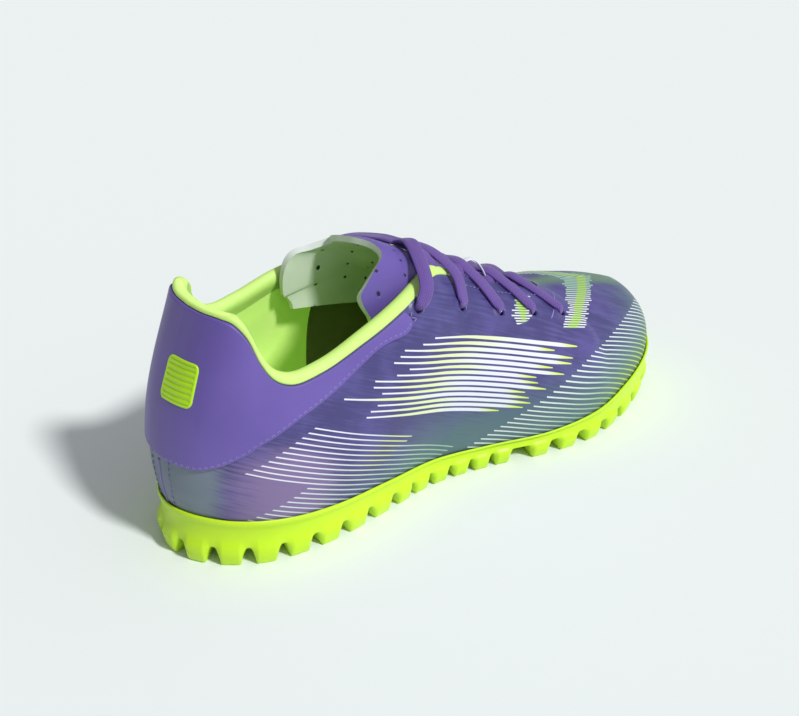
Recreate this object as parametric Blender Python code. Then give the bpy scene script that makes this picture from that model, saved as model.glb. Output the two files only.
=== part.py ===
"""Turf shoe for the right foot, built as its maker would: outsole, upper, heel panel, tongue, insole and laces.

Metres, +Z up. The toe points along +X and the outer (lateral) side faces -Y. While it is being modelled, X runs
from the back of the sole and the floor is Z = 0. The last step centres the shoe on the origin.
"""

import math
from collections import namedtuple

import bmesh
import bpy
import numpy as np
from mathutils import Matrix, Vector
from mathutils.bvhtree import BVHTree

# Driving sizes of the shoe.
LENGTH = 0.290  # sole, back of the heel to tip of the toe
BALL_WIDTH = 0.098  # sole at the ball of the foot
SOLE_HEIGHT = 0.0233  # floor to the sole's top edge at the back of the heel
HEEL_HEIGHT = 0.107  # floor to the top of the heel tab
INSTEP_HEIGHT = 0.099  # floor to the top corner of the throat
TOE_HEIGHT = 0.051  # floor to the upper's top above the toes
TOE_SPRING = 0.014  # how far the tip of the sole is lifted off the floor

# Walls and clearances.
GAP = 0.0003  # between pieces that meet
WALL = 0.0022  # upper, skin and lining together
COLLAR_WALL = 0.0048  # upper where the collar is padded
RIM_CROWN = 0.0011  # how far the padded rim is rounded over
PANEL_WALL = 0.0009  # heel panel, sewn over the upper
PANEL_EDGE = 0.0012  # how far the panel stays below the rim
TONGUE_WALL = 0.0026
INSOLE_WALL = 0.0036
INSOLE_BEVEL = 0.0009

# Outsole.
LIP_WIDTH = 0.0015  # wall of the cup that holds the upper
LIP_HEIGHT = 0.0020
UNDERCUT = 0.0005  # how far the side wall draws in at the web
LUG_HEIGHT = 0.0080  # floor to the web between the lugs
LUG_ROOT = 0.0010  # how far a lug's root is sunk into the web, so that the two fuse
LUG_INSET = 0.0003  # edge lugs behind the face of the side wall
INNER_LUG_RADIUS = 0.0050

# Laces.
LACE_WIDTH = 0.0064
LACE_THICKNESS = 0.0014
EYELET_RADIUS = 0.0021
EYELET_SETBACK = 0.0150  # eyelet centre to the edge of the throat, along the surface
LACE_STEPS = 10  # sections along a strand
LACE_FINER = 3  # how much finer a strand is laid than it is built
LACE_SEARCH = 0.03  # how far above a strand the surface under it is looked for
TOP_CROSSING = 0.386  # rib where the top strands pass over the edges of the throat

# Pairs of eyelets, from the top down. at: rib. setback: share of EYELET_SETBACK.
Eyelet = namedtuple("Eyelet", "at setback")
EYELETS = [
    Eyelet(0.368, 0.36),
    Eyelet(0.457, 1.03),
    Eyelet(0.529, 1.09),
    Eyelet(0.585, 1.16),
    Eyelet(0.642, 1.33),
]

# How finely the solids are faceted.
RIB_COLUMNS = 36  # ribs on each side of the upper
RIB_ROWS = 9

LATERAL, MEDIAL = -1.0, 1.0

# Sole outline. along: share of LENGTH from the heel. lateral, medial: shares of BALL_WIDTH to each side of the
# axis. edge: top edge of the sole as a share of SOLE_HEIGHT. web: underside between lugs, share of LUG_HEIGHT.
Outline = namedtuple("Outline", "along lateral medial edge web")
SOLE_OUTLINE = [
    Outline(0.000, 0.000, 0.000, 1.000, 1.10),
    Outline(0.020, 0.168, 0.168, 0.985, 1.10),
    Outline(0.050, 0.258, 0.250, 0.940, 1.08),
    Outline(0.100, 0.338, 0.314, 0.885, 1.04),
    Outline(0.150, 0.368, 0.338, 0.815, 1.00),
    Outline(0.200, 0.378, 0.343, 0.772, 0.98),
    Outline(0.300, 0.358, 0.318, 0.688, 0.96),
    Outline(0.400, 0.335, 0.290, 0.600, 0.92),
    Outline(0.500, 0.386, 0.296, 0.535, 0.92),
    Outline(0.600, 0.474, 0.357, 0.545, 0.94),
    Outline(0.700, 0.518, 0.444, 0.670, 0.96),
    Outline(0.800, 0.470, 0.484, 0.845, 0.98),
    Outline(0.850, 0.424, 0.469, 0.935, 0.98),
    Outline(0.900, 0.356, 0.425, 1.025, 0.98),
    Outline(0.950, 0.240, 0.335, 1.100, 0.97),
    Outline(0.980, 0.118, 0.232, 1.140, 0.96),
    Outline(1.000, -0.071, 0.071, 1.165, 0.95),
]

# Ribs of the upper, from the back of the heel (0) to the tip of the toe (1). foot: where the rib leaves the sole,
# share of LENGTH. x: share of LENGTH of the rib's top. lateral, medial: the top's distance to each side, share of
# BALL_WIDTH. heel, instep, toe: how much of each height the top takes. flare: outward lean at the sole, degrees.
# rise, reach: lengths of the rib's lower and upper tangents, shares of its height and of its span. arrive:
# steepness at the top, degrees.
Rib = namedtuple("Rib", "at foot x lateral medial heel instep toe flare rise arrive reach")
RIBS = [
    Rib(0.000, 0.000, 0.0510, 0.000, 0.000, 0.980, 0.000, 0.000, 17, 0.40, 75, 0.29),
    Rib(0.030, 0.005, 0.0535, 0.092, 0.092, 0.981, 0.000, 0.000, 17, 0.40, 75, 0.29),
    Rib(0.060, 0.018, 0.0620, 0.165, 0.163, 0.980, 0.000, 0.000, 17, 0.40, 76, 0.29),
    Rib(0.088, 0.035, 0.0740, 0.212, 0.208, 0.968, 0.000, 0.000, 15, 0.40, 77, 0.29),
    Rib(0.110, 0.050, 0.0850, 0.240, 0.236, 0.925, 0.000, 0.000, 14, 0.40, 77, 0.29),
    Rib(0.135, 0.069, 0.0965, 0.264, 0.260, 0.842, 0.000, 0.000, 12, 0.40, 77, 0.30),
    Rib(0.160, 0.090, 0.1120, 0.285, 0.282, 0.766, 0.000, 0.000, 11, 0.40, 76, 0.30),
    Rib(0.190, 0.117, 0.1380, 0.302, 0.301, 0.723, 0.000, 0.000, 10, 0.40, 75, 0.30),
    Rib(0.225, 0.155, 0.1790, 0.314, 0.314, 0.734, 0.000, 0.000, 9, 0.40, 72, 0.30),
    Rib(0.280, 0.224, 0.2480, 0.316, 0.318, 0.000, 0.862, 0.000, 8, 0.41, 67, 0.30),
    Rib(0.340, 0.297, 0.3170, 0.290, 0.296, 0.000, 0.926, 0.000, 9, 0.41, 58, 0.30),
    Rib(0.385, 0.355, 0.3690, 0.245, 0.252, 0.000, 0.970, 0.000, 10, 0.41, 48, 0.29),
    Rib(0.420, 0.398, 0.4090, 0.188, 0.198, 0.000, 0.985, 0.000, 11, 0.41, 38, 0.29),
    Rib(0.460, 0.448, 0.4570, 0.150, 0.160, 0.000, 0.932, 0.000, 12, 0.42, 30, 0.30),
    Rib(0.520, 0.520, 0.5240, 0.138, 0.146, 0.000, 0.846, 0.000, 12, 0.42, 24, 0.36),
    Rib(0.580, 0.595, 0.5930, 0.130, 0.136, 0.000, 0.768, 0.000, 11, 0.43, 16, 0.42),
    Rib(0.640, 0.668, 0.6560, 0.108, 0.116, 0.000, 0.700, 0.000, 10, 0.47, 7, 0.46),
    Rib(0.680, 0.714, 0.6960, 0.056, 0.066, 0.000, 0.660, 0.000, 9, 0.50, 1, 0.50),
    Rib(0.700, 0.736, 0.7080, -0.005, 0.005, 0.000, 0.648, 0.000, 9, 0.51, 0, 0.50),
    Rib(0.780, 0.822, 0.7720, -0.020, 0.020, 0.000, 0.000, 1.190, 8, 0.52, 0, 0.50),
    Rib(0.860, 0.902, 0.8300, -0.036, 0.036, 0.000, 0.000, 1.108, 7, 0.52, 0, 0.50),
    Rib(0.930, 0.968, 0.8760, -0.050, 0.050, 0.000, 0.000, 1.045, 6, 0.54, 0, 0.50),
    Rib(1.000, 1.000, 0.9080, -0.060, 0.060, 0.000, 0.000, 1.000, 5, 0.56, 0, 0.52),
]
THROAT_CORNER = 0.420  # rib where the collar turns into the throat
THROAT_END = 0.700  # rib where the two sides meet in one ridge
MEDIAL_LIFT = 0.0070  # collar is that much higher on the inner side

# Lower edge of the heel panel. at: rib. rise: share of the rib's height.
Seam = namedtuple("Seam", "at rise")
PANEL_SEAM = [
    Seam(0.000, 0.262),
    Seam(0.060, 0.267),
    Seam(0.088, 0.300),
    Seam(0.120, 0.392),
    Seam(0.156, 0.564),
    Seam(0.197, 0.734),
    Seam(0.240, 0.822),
    Seam(0.290, 0.893),
    Seam(0.318, 0.884),
    Seam(0.345, 0.850),
]

# Tongue, from its root under the vamp (0) to its free end (1). x: share of LENGTH. height: top of the arch, share
# of INSTEP_HEIGHT. width, drop: half-width and depth of the arch, shares of BALL_WIDTH. offset: how far the arch
# sits towards the inner side, share of BALL_WIDTH. cant: slope of its top down towards the inner side, degrees.
TongueRow = namedtuple("TongueRow", "at x height width drop offset cant")
TONGUE = [
    TongueRow(0.00, 0.760, 0.520, 0.150, 0.050, 0.000, 0),
    TongueRow(0.14, 0.690, 0.612, 0.180, 0.090, 0.000, 0),
    TongueRow(0.32, 0.620, 0.715, 0.205, 0.130, 0.000, 0),
    TongueRow(0.50, 0.530, 0.838, 0.225, 0.200, 0.000, 0),
    TongueRow(0.66, 0.455, 0.948, 0.232, 0.275, 0.000, 0),
    TongueRow(0.80, 0.387, 1.058, 0.225, 0.330, 0.004, 4),
    TongueRow(0.90, 0.330, 1.130, 0.224, 0.350, 0.012, 10),
    TongueRow(1.00, 0.246, 1.185, 0.238, 0.360, 0.032, 15),
]
TONGUE_CLEARANCE = 0.0010  # between the tongue and the flaps of the upper that lie over it
TONGUE_MARGIN = 0.0028  # how far beside the flaps the tongue is already kept under them
TONGUE_ARCH_POWER = 2.9
# Free end of the tongue across the arch. across: -1 at the outer edge to 1 at the inner edge. back: how far the
# end reaches, share of the tongue's length.
TongueEnd = namedtuple("TongueEnd", "across back")
TONGUE_END = [
    TongueEnd(-1.00, 0.950),
    TongueEnd(-0.85, 0.985),
    TongueEnd(-0.62, 0.965),
    TongueEnd(-0.42, 0.930),
    TongueEnd(-0.20, 0.938),
    TongueEnd(0.05, 0.945),
    TongueEnd(0.18, 0.940),
    TongueEnd(0.28, 0.912),
    TongueEnd(0.50, 0.945),
    TongueEnd(0.74, 1.000),
    TongueEnd(1.00, 0.960),
]

# Lugs round the edge, on each side. first, last: shares of the edge's length from the heel. size: share of
# LUG_WIDTH. The lugs at both ends of the shoe are shared by the two sides.
LUG_WIDTH = 0.0122
LUG_DEPTH = 0.0100
LugZone = namedtuple("LugZone", "first last count size")
LUG_ZONES = [
    LugZone(0.000, 0.300, 8, 1.00),
    LugZone(0.340, 0.506, 6, 0.80),
    LugZone(0.566, 1.000, 10, 1.00),
]
# Rows of lugs under the foot. along: share of LENGTH. count: lugs across the sole.
LugRow = namedtuple("LugRow", "along count")
LUG_ROWS = [
    LugRow(0.085, 2),
    LugRow(0.140, 3),
    LugRow(0.195, 2),
    LugRow(0.250, 3),
    LugRow(0.315, 2),
    LugRow(0.400, 2),
    LugRow(0.485, 2),
    LugRow(0.560, 3),
    LugRow(0.618, 4),
    LugRow(0.676, 3),
    LugRow(0.734, 4),
    LugRow(0.792, 3),
    LugRow(0.850, 4),
    LugRow(0.908, 3),
]

COLOURS = {
    "lime": (0.50, 0.95, 0.02, 1.0),
    "purple": (0.12, 0.07, 0.42, 1.0),
    "print": (0.14, 0.16, 0.36, 1.0),
    "lace": (0.15, 0.07, 0.40, 1.0),
    "sage": (0.42, 0.50, 0.42, 1.0),
}


def smooth(knots, values, at):
    """A cubic curve through a table's rows, whose slope at each row comes from the rows beside it."""
    knots, values, at = (np.asarray(a, float) for a in (knots, values, at))
    step = np.diff(knots)
    secant = np.diff(values) / step
    slope = np.empty_like(values)
    slope[0], slope[-1] = secant[0], secant[-1]
    slope[1:-1] = (step[1:] * secant[:-1] + step[:-1] * secant[1:]) / (step[1:] + step[:-1])
    i = np.clip(np.searchsorted(knots, at, side="right") - 1, 0, len(step) - 1)
    h = step[i]
    t = np.clip((at - knots[i]) / h, 0.0, 1.0)
    return (
        values[i] * (1 + 2 * t) * (1 - t) ** 2
        + values[i + 1] * t**2 * (3 - 2 * t)
        + h * (slope[i] * t * (1 - t) ** 2 - slope[i + 1] * t**2 * (1 - t))
    )


def ease(t):
    """0 before 0, 1 after 1, and a soft S between them."""
    t = np.clip(t, 0.0, 1.0)
    return t * t * (3 - 2 * t)


def column(table, name):
    """One named column of a table."""
    return np.array([getattr(row, name) for row in table], float)


def turn_of(along):
    """A place along the sole as an angle, 0 at the heel and pi at the toe, so that both ends come out round."""
    return np.arccos(1 - 2 * np.asarray(along, float))


def along_of(turn):
    return (1 - np.cos(turn)) / 2


def sole_height(name, size, turn):
    """One of the sole outline's height columns, in metres."""
    return smooth(turn_of(column(SOLE_OUTLINE, "along")), column(SOLE_OUTLINE, name), turn) * size


def spring(along):
    """How far the underside is lifted at the toe."""
    return TOE_SPRING * np.clip((along - 0.80) / 0.20, 0.0, 1.0) ** 2


def outline_half(side, turn):
    """The sole's edge in plan on one side, at angles from turn_of."""
    name = "lateral" if side == LATERAL else "medial"
    y = smooth(turn_of(column(SOLE_OUTLINE, "along")), column(SOLE_OUTLINE, name), turn)
    return np.stack([along_of(turn) * LENGTH, side * y * BALL_WIDTH], -1)


def outward(side, turn):
    """Unit normals of the sole's edge in plan, pointing away from the foot."""
    nudge = 1e-4
    ahead = outline_half(side, np.minimum(turn + nudge, math.pi))
    behind = outline_half(side, np.maximum(turn - nudge, 0.0))
    run = ahead - behind
    normal = np.stack([-side * run[..., 1], side * run[..., 0]], -1)
    ends = (np.asarray(turn) < nudge) | (np.asarray(turn) > math.pi - nudge)
    normal[ends] = np.where(np.asarray(turn)[ends, None] < 1.0, [[-1.0, 0.0]], [[1.0, 0.0]])
    return normal / np.linalg.norm(normal, axis=-1, keepdims=True)


def inset_outline(side, turn, inset):
    """The sole's edge moved inwards."""
    return outline_half(side, turn) - outward(side, turn) * np.asarray(inset)[..., None]


def bed_height(turn):
    """The floor of the cup that the upper and the insole stand on."""
    return sole_height("edge", SOLE_HEIGHT, turn) - LIP_HEIGHT


def rib_value(name, at):
    return smooth(column(RIBS, "at"), column(RIBS, name), at)


def foot_turn(at):
    """Where each rib leaves the sole, as an angle from turn_of."""
    return smooth(column(RIBS, "at"), turn_of(column(RIBS, "foot")), at)


def rib_foot(side, at):
    """Where each rib leaves the sole: just inside the cup's lip and just above its bed."""
    turn = foot_turn(at)
    plan = inset_outline(side, turn, np.full(np.shape(at), LIP_WIDTH + GAP))
    return np.concatenate([plan, (bed_height(turn) + GAP)[..., None]], -1), outward(side, turn)


def top_heights():
    """The height of each rib's top, from the three named heights."""
    return (
        column(RIBS, "heel") * HEEL_HEIGHT
        + column(RIBS, "instep") * INSTEP_HEIGHT
        + column(RIBS, "toe") * TOE_HEIGHT
    )


def rib_top(side, at):
    """The rim of the collar and throat, and then the ridge of the vamp."""
    knots = column(RIBS, "at")
    name = "lateral" if side == LATERAL else "medial"
    y = side * smooth(knots, column(RIBS, name), at) * BALL_WIDTH
    x = smooth(knots, column(RIBS, "x"), at) * LENGTH
    z = smooth(knots, top_heights(), at)
    if side == MEDIAL:
        z = z + MEDIAL_LIFT * ease((at - 0.05) / 0.13) * ease((0.46 - at) / 0.26)
    return np.stack([x, y, z], -1)


def upper_point(side, at, rise):
    """The outer surface of the upper. at: rib, 0 to 1. rise: 0 at the sole, 1 at the rim or ridge.

    Each rib is a cubic curve that leaves the sole with the table's flare and reaches its top with the table's
    steepness. On the ridge it arrives in the ridge's own tangent plane, so that the two sides meet smoothly.
    """
    foot, away = rib_foot(side, at)
    top = rib_top(side, at)
    span = top - foot
    across = span[..., :2] / np.maximum(np.linalg.norm(span[..., :2], axis=-1, keepdims=True), 1e-6)
    lean = ease((at - 0.42) / 0.20)[..., None]
    inward = -away * (1 - lean) + across * lean
    inward /= np.linalg.norm(inward, axis=-1, keepdims=True)
    nudge = 1e-3
    low, high = np.clip(at - nudge, THROAT_END, 1.0), np.clip(at + nudge, THROAT_END + 2 * nudge, 1.0)
    ridge = rib_top(LATERAL, high) - rib_top(LATERAL, low)
    run = np.linalg.norm(ridge[..., :2], axis=-1)
    climb = (ridge[..., 2] / run) * (inward * ridge[..., :2]).sum(-1) / run
    climb = climb * ease((at - THROAT_END + 0.06) / 0.06)
    flare = np.radians(rib_value("flare", at))
    arrive = np.radians(rib_value("arrive", at))
    height = np.maximum(span[..., 2], 0.0)
    lower = (rib_value("rise", at) * height)[..., None] * np.concatenate(
        [away * np.sin(flare)[..., None], np.cos(flare)[..., None]], -1
    )
    heading = np.concatenate(
        [inward * np.cos(arrive)[..., None], (np.sin(arrive) + climb)[..., None]], -1
    )
    upper = (rib_value("reach", at) * np.linalg.norm(span, axis=-1))[..., None] * heading
    t = np.asarray(rise)[..., None]
    return (
        foot * (1 - t) ** 3
        + (foot + lower) * 3 * t * (1 - t) ** 2
        + (top - upper) * 3 * t**2 * (1 - t)
        + top * t**3
    )


def upper_normal(side, at, rise):
    """Outward unit normals of the upper's outer surface."""
    nudge = 1e-3
    along = upper_point(side, np.clip(at + nudge, 0, 1), rise) - upper_point(side, np.clip(at - nudge, 0, 1), rise)
    up = upper_point(side, at, np.clip(rise + nudge, 0, 1)) - upper_point(side, at, np.clip(rise - nudge, 0, 1))
    normal = np.cross(along, up) * -side
    return normal / np.linalg.norm(normal, axis=-1, keepdims=True)


def wall_at(at, rise):
    """Thickness of the upper: thin in front, padded round the collar."""
    padded = ease((rise - 0.42) / 0.36) * ease((0.46 - at) / 0.09)
    return WALL + (COLLAR_WALL - WALL) * padded


def mesh_object(name, points, faces, colour):
    """A mesh object with its own material, its faces turned outwards."""
    mesh = bpy.data.meshes.new(name)
    mesh.from_pydata([tuple(p) for p in points], [], [tuple(f) for f in faces])
    obj = bpy.data.objects.new(name, mesh)
    bpy.context.scene.collection.objects.link(obj)
    work = bmesh.new()
    work.from_mesh(mesh)
    bmesh.ops.remove_doubles(work, verts=work.verts, dist=1e-6)
    bmesh.ops.recalc_face_normals(work, faces=work.faces)
    work.to_mesh(mesh)
    work.free()
    mesh.shade_smooth()
    mesh.set_sharp_from_angle(angle=math.radians(35))
    mesh.materials.append(material(name, colour))
    return obj


def material(name, colour):
    made = bpy.data.materials.new(name)
    made.use_nodes = True
    shader = made.node_tree.nodes["Principled BSDF"]
    shader.inputs["Base Color"].default_value = COLOURS[colour]
    shader.inputs["Roughness"].default_value = 0.55
    shader.inputs["Metallic"].default_value = 0.0
    return made


def rib_stations():
    """The ribs to build, closer together round the heel tab and toe, with one exactly at the throat's end."""
    before = int(round(RIB_COLUMNS * 0.72))
    front = RIB_COLUMNS - before
    share = np.linspace(0, 1, before + 1)
    collar = THROAT_END * (0.62 * share + 0.38 * share**1.7)
    vamp = THROAT_END + (1 - THROAT_END) * np.linspace(0, 1, front + 1)[1:]
    return np.concatenate([collar, vamp]), before


def surface_normals(points, faces):
    """Vertex normals of an open quad sheet, as the average of the faces round each point."""
    quads = np.array(faces)
    a, b, c, d = (points[quads[:, k]] for k in range(4))
    face_normal = np.cross(c - a, d - b)
    total = np.zeros_like(points)
    for k in range(4):
        np.add.at(total, quads[:, k], face_normal)
    return total / np.maximum(np.linalg.norm(total, axis=1, keepdims=True), 1e-12)


def build_upper():
    """The upper: one wall, open at the collar, the throat and the sole.

    The lateral ribs run heel to toe, and the medial ones back again. Both share the rib at the back of the heel,
    the rib at the tip of the toe and the ridge of the vamp.
    """
    stations, ridge_start = rib_stations()
    rows = np.linspace(0, 1, RIB_ROWS + 1)
    count = len(stations)
    at, rise = np.meshgrid(stations, rows, indexing="ij")
    lateral = upper_point(LATERAL, at, rise)
    medial = upper_point(MEDIAL, at, rise)
    walls = wall_at(at, rise)
    last = count - 1
    points = np.concatenate([lateral.reshape(-1, 3), medial.reshape(-1, 3)])
    thickness = np.concatenate([walls.ravel(), walls.ravel()])
    index = np.arange(count * len(rows)).reshape(count, len(rows))
    other = index + index.size
    other[0], other[last] = index[0], index[last]
    other[ridge_start:, -1] = index[ridge_start:, -1]
    faces = []
    for i in range(last):
        for j in range(RIB_ROWS):
            faces.append((index[i, j], index[i + 1, j], index[i + 1, j + 1], index[i, j + 1]))
            faces.append((other[i, j], other[i, j + 1], other[i + 1, j + 1], other[i + 1, j]))
    normals = surface_normals(points, faces)
    bottom = np.concatenate([index[:, 0], other[:, 0]])
    normals[bottom, 2] = 0
    normals /= np.maximum(np.linalg.norm(normals, axis=1, keepdims=True), 1e-12)
    inner = points - normals * thickness[:, None]
    shift = len(points)
    rim = np.concatenate([index[: ridge_start + 1, -1][::-1], other[1 : ridge_start + 1, -1]])
    crowned = ease((0.50 - np.concatenate([stations[: ridge_start + 1][::-1], stations[1 : ridge_start + 1]])) / 0.10)
    middle = (points[rim] + inner[rim]) / 2
    middle[:, 2] += RIM_CROWN * (0.35 + 0.65 * crowned)
    all_points = np.concatenate([points, inner, middle])
    faces += [tuple(shift + v for v in reversed(f)) for f in list(faces)]
    crest = 2 * shift + np.arange(len(rim))
    for k in range(len(rim) - 1):
        a, b = rim[k], rim[k + 1]
        faces.append((a, b, crest[k + 1], crest[k]))
        faces.append((crest[k], crest[k + 1], shift + b, shift + a))
    closing = rim[0], rim[-1]
    assert closing[0] == closing[1]
    faces = [tuple(crest[0] if v == crest[-1] else v for v in f) for f in faces]
    for ring in (index, other):
        for i in range(last):
            a, b = ring[i, 0], ring[i + 1, 0]
            faces.append((a, b, shift + b, shift + a))
    used = sorted({v for f in faces for v in f})
    number = {v: k for k, v in enumerate(used)}
    upper = mesh_object("upper", all_points[used], [[number[v] for v in f] for f in faces], "print")
    cut_eyelets(upper)
    return upper


def eyelet(side, row):
    """Centre and outward normal of one eyelet. Row 0 is the top one."""
    at = EYELETS[row].at
    rise = np.linspace(0.3, 1.0, 141)
    rib = upper_point(side, np.full(len(rise), at), rise)
    left = np.cumsum(np.linalg.norm(np.diff(rib[::-1], axis=0), axis=1))[::-1]
    k = int(np.argmin(np.abs(left - EYELET_SETBACK * EYELETS[row].setback)))
    return rib[k], upper_normal(side, np.array(at), np.array(rise[k]))


def cut_eyelets(upper):
    """Punches the lace holes through the upper's wall."""
    for side in (LATERAL, MEDIAL):
        for row in range(len(EYELETS)):
            centre, normal = eyelet(side, row)
            turn = Vector(normal).to_track_quat("Z", "Y").to_matrix().to_4x4()
            punch = round_bar("punch", EYELET_RADIUS, COLLAR_WALL * 4)
            punch.data.transform(Matrix.Translation(Vector(centre)) @ turn)
            combine(upper, punch, "DIFFERENCE")


def round_bar(name, radius, length):
    """A short eight-sided bar on the Z axis, centred on the origin."""
    work = bmesh.new()
    bmesh.ops.create_cone(
        work, cap_ends=True, cap_tris=False, segments=8, radius1=radius, radius2=radius, depth=length
    )
    mesh = bpy.data.meshes.new(name)
    work.to_mesh(mesh)
    work.free()
    obj = bpy.data.objects.new(name, mesh)
    bpy.context.scene.collection.objects.link(obj)
    return obj


def combine(target, tool, operation):
    """Joins the tool to the target, or cuts it away, and deletes the tool."""
    step = target.modifiers.new("combine", "BOOLEAN")
    step.operation = operation
    step.object = tool
    step.solver = "EXACT"
    step.use_self = operation == "UNION"
    bpy.context.view_layer.update()
    result = bpy.data.meshes.new_from_object(target.evaluated_get(bpy.context.evaluated_depsgraph_get()))
    result.name = target.name
    target.modifiers.remove(step)
    target.data = result
    bpy.data.objects.remove(tool)


def plate(points_outer, points_inner):
    """Faces of a sheet between two matching grids, closed along all four edges. Grids are (rows, columns, 3)."""
    rows, columns = points_outer.shape[:2]
    points = np.concatenate([points_outer.reshape(-1, 3), points_inner.reshape(-1, 3)])
    a = np.arange(rows * columns).reshape(rows, columns)
    b = a + a.size
    faces = []
    for i in range(rows - 1):
        for j in range(columns - 1):
            faces.append((a[i, j], a[i + 1, j], a[i + 1, j + 1], a[i, j + 1]))
            faces.append((b[i, j], b[i, j + 1], b[i + 1, j + 1], b[i + 1, j]))
        for j in (0, columns - 1):
            faces.append((a[i, j], a[i + 1, j], b[i + 1, j], b[i, j]))
    for j in range(columns - 1):
        for i in (0, rows - 1):
            faces.append((a[i, j], a[i, j + 1], b[i, j + 1], b[i, j]))
    return points, faces


def build_heel_panel():
    """The smooth panel sewn round the heel and collar, from its curved seam up to just under the rim."""
    stations, _ = rib_stations()
    seam_end = PANEL_SEAM[-1].at
    half = np.append(stations[stations < seam_end - 0.008], seam_end)
    rows = 6
    grids = []
    for lift in (GAP + PANEL_WALL, GAP):
        columns = []
        for side, ribs in ((LATERAL, half[::-1]), (MEDIAL, half[1:])):
            at = np.repeat(ribs[:, None], rows + 1, 1)
            low = smooth(column(PANEL_SEAM, "at"), column(PANEL_SEAM, "rise"), ribs)
            tall = np.linalg.norm(upper_point(side, ribs, np.ones_like(ribs)) - rib_foot(side, ribs)[0], axis=-1)
            high = 1 - PANEL_EDGE / tall
            rise = low[:, None] + (high - low)[:, None] * np.linspace(0, 1, rows + 1)
            normal = upper_normal(side, at, rise)
            columns.append(upper_point(side, at, rise) + normal * lift)
        grids.append(np.concatenate(columns))
    points, faces = plate(*grids)
    return mesh_object("heel_panel", points, faces, "purple")


def tongue_point(at, across, sunk=0.0):
    """The tongue's outer surface: an arch over the instep. across runs from -1 to 1. sunk moves it inwards."""
    knots = column(TONGUE, "at")
    x = smooth(knots, column(TONGUE, "x"), at) * LENGTH
    top = smooth(knots, column(TONGUE, "height"), at) * INSTEP_HEIGHT
    width = smooth(knots, column(TONGUE, "width"), at) * BALL_WIDTH - sunk
    drop = smooth(knots, column(TONGUE, "drop"), at) * BALL_WIDTH - sunk
    offset = smooth(knots, column(TONGUE, "offset"), at) * BALL_WIDTH
    cant = np.tan(np.radians(smooth(knots, column(TONGUE, "cant"), at)))
    angle = across * math.pi / 2
    power = 2 / TONGUE_ARCH_POWER
    y = width * np.sign(np.sin(angle)) * np.abs(np.sin(angle)) ** power
    z = -drop * (1 - np.clip(np.cos(angle), 0, 1) ** power) - sunk
    return np.stack([x, y + offset, top + z - y * cant], -1)


def tuck_under(outer, upper):
    """How far each point of the tongue has to go down so that it passes under the upper's flaps."""
    tree = surface_tree(upper)
    reach = TONGUE_MARGIN
    start = SOLE_HEIGHT + INSOLE_WALL
    down = np.zeros(outer.shape[:2])
    for i, j in np.ndindex(down.shape):
        x, y, z = outer[i, j]
        for dx, dy in ((0, 0), (reach, 0), (-reach, 0), (0, reach), (0, -reach)):
            hit = tree.ray_cast(Vector((x + dx, y + dy, start)), Vector((0, 0, 1)))[0]
            if hit is not None:
                down[i, j] = max(down[i, j], z - (hit.z - TONGUE_CLEARANCE))
    return down


def build_tongue(upper):
    """The tongue: one arched sheet, with its free end cut to the table's shape."""
    rows, columns = 10, 14
    across = np.linspace(-1, 1, columns + 1)
    end = smooth(column(TONGUE_END, "across"), column(TONGUE_END, "back"), across)
    at = np.linspace(0, 1, rows + 1)[:, None] * end[None, :]
    spread = np.repeat(across[None, :], rows + 1, 0)
    outer = tongue_point(at, spread)
    inner = tongue_point(at, spread, TONGUE_WALL)
    down = tuck_under(outer, upper)
    outer[..., 2] -= down
    inner[..., 2] -= down
    points, faces = plate(outer, inner)
    return mesh_object("tongue", points, faces, "sage")


def closed_between(rings):
    """Stacks rings of (lateral, medial) edge points into a solid, with strips across its first and last ring.

    Each ring has the same number of points on both sides, and the two sides share their first and last point.
    """
    count = len(rings[0][0])
    points, index = [], []
    for lateral, medial in rings:
        start = len(points)
        points += list(lateral) + list(medial[1:-1])
        left = [start + k for k in range(count)]
        right = [left[0]] + [start + count + k for k in range(count - 2)] + [left[-1]]
        index.append((left, right))
    faces = []
    for (left0, right0), (left1, right1) in zip(index[:-1], index[1:]):
        for low, high in ((left0, left1), (right0, right1)):
            for k in range(count - 1):
                faces.append((low[k], low[k + 1], high[k + 1], high[k]))
    for left, right in (index[0], index[-1]):
        for k in range(count - 1):
            corners = [left[k], left[k + 1], right[k + 1], right[k]]
            faces.append(tuple(dict.fromkeys(corners)))
    return np.array(points), faces


def edge_ring(turn, inset, height):
    """One ring of edge points, at an inset from the sole's outline and at given heights."""
    ring = []
    for side in (LATERAL, MEDIAL):
        plan = inset_outline(side, turn, inset + np.zeros(len(turn)))
        ring.append(np.concatenate([plan, height[:, None]], 1))
    return ring


def build_insole():
    """The insole: a flat sheet on the sole's bed, inside the upper, with a bevelled top edge."""
    turn = foot_turn(rib_stations()[0])
    bed = bed_height(turn)
    inset = LIP_WIDTH + WALL + 3 * GAP
    rings = [
        edge_ring(turn, inset, bed + GAP),
        edge_ring(turn, inset, bed + GAP + INSOLE_WALL - INSOLE_BEVEL),
        edge_ring(turn, inset + INSOLE_BEVEL, bed + GAP + INSOLE_WALL),
    ]
    points, faces = closed_between(rings)
    return mesh_object("insole", points, faces, "sage")


def web_height(turn):
    """Underside of the sole between its lugs."""
    return sole_height("web", LUG_HEIGHT, turn) + spring(along_of(turn))


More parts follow.
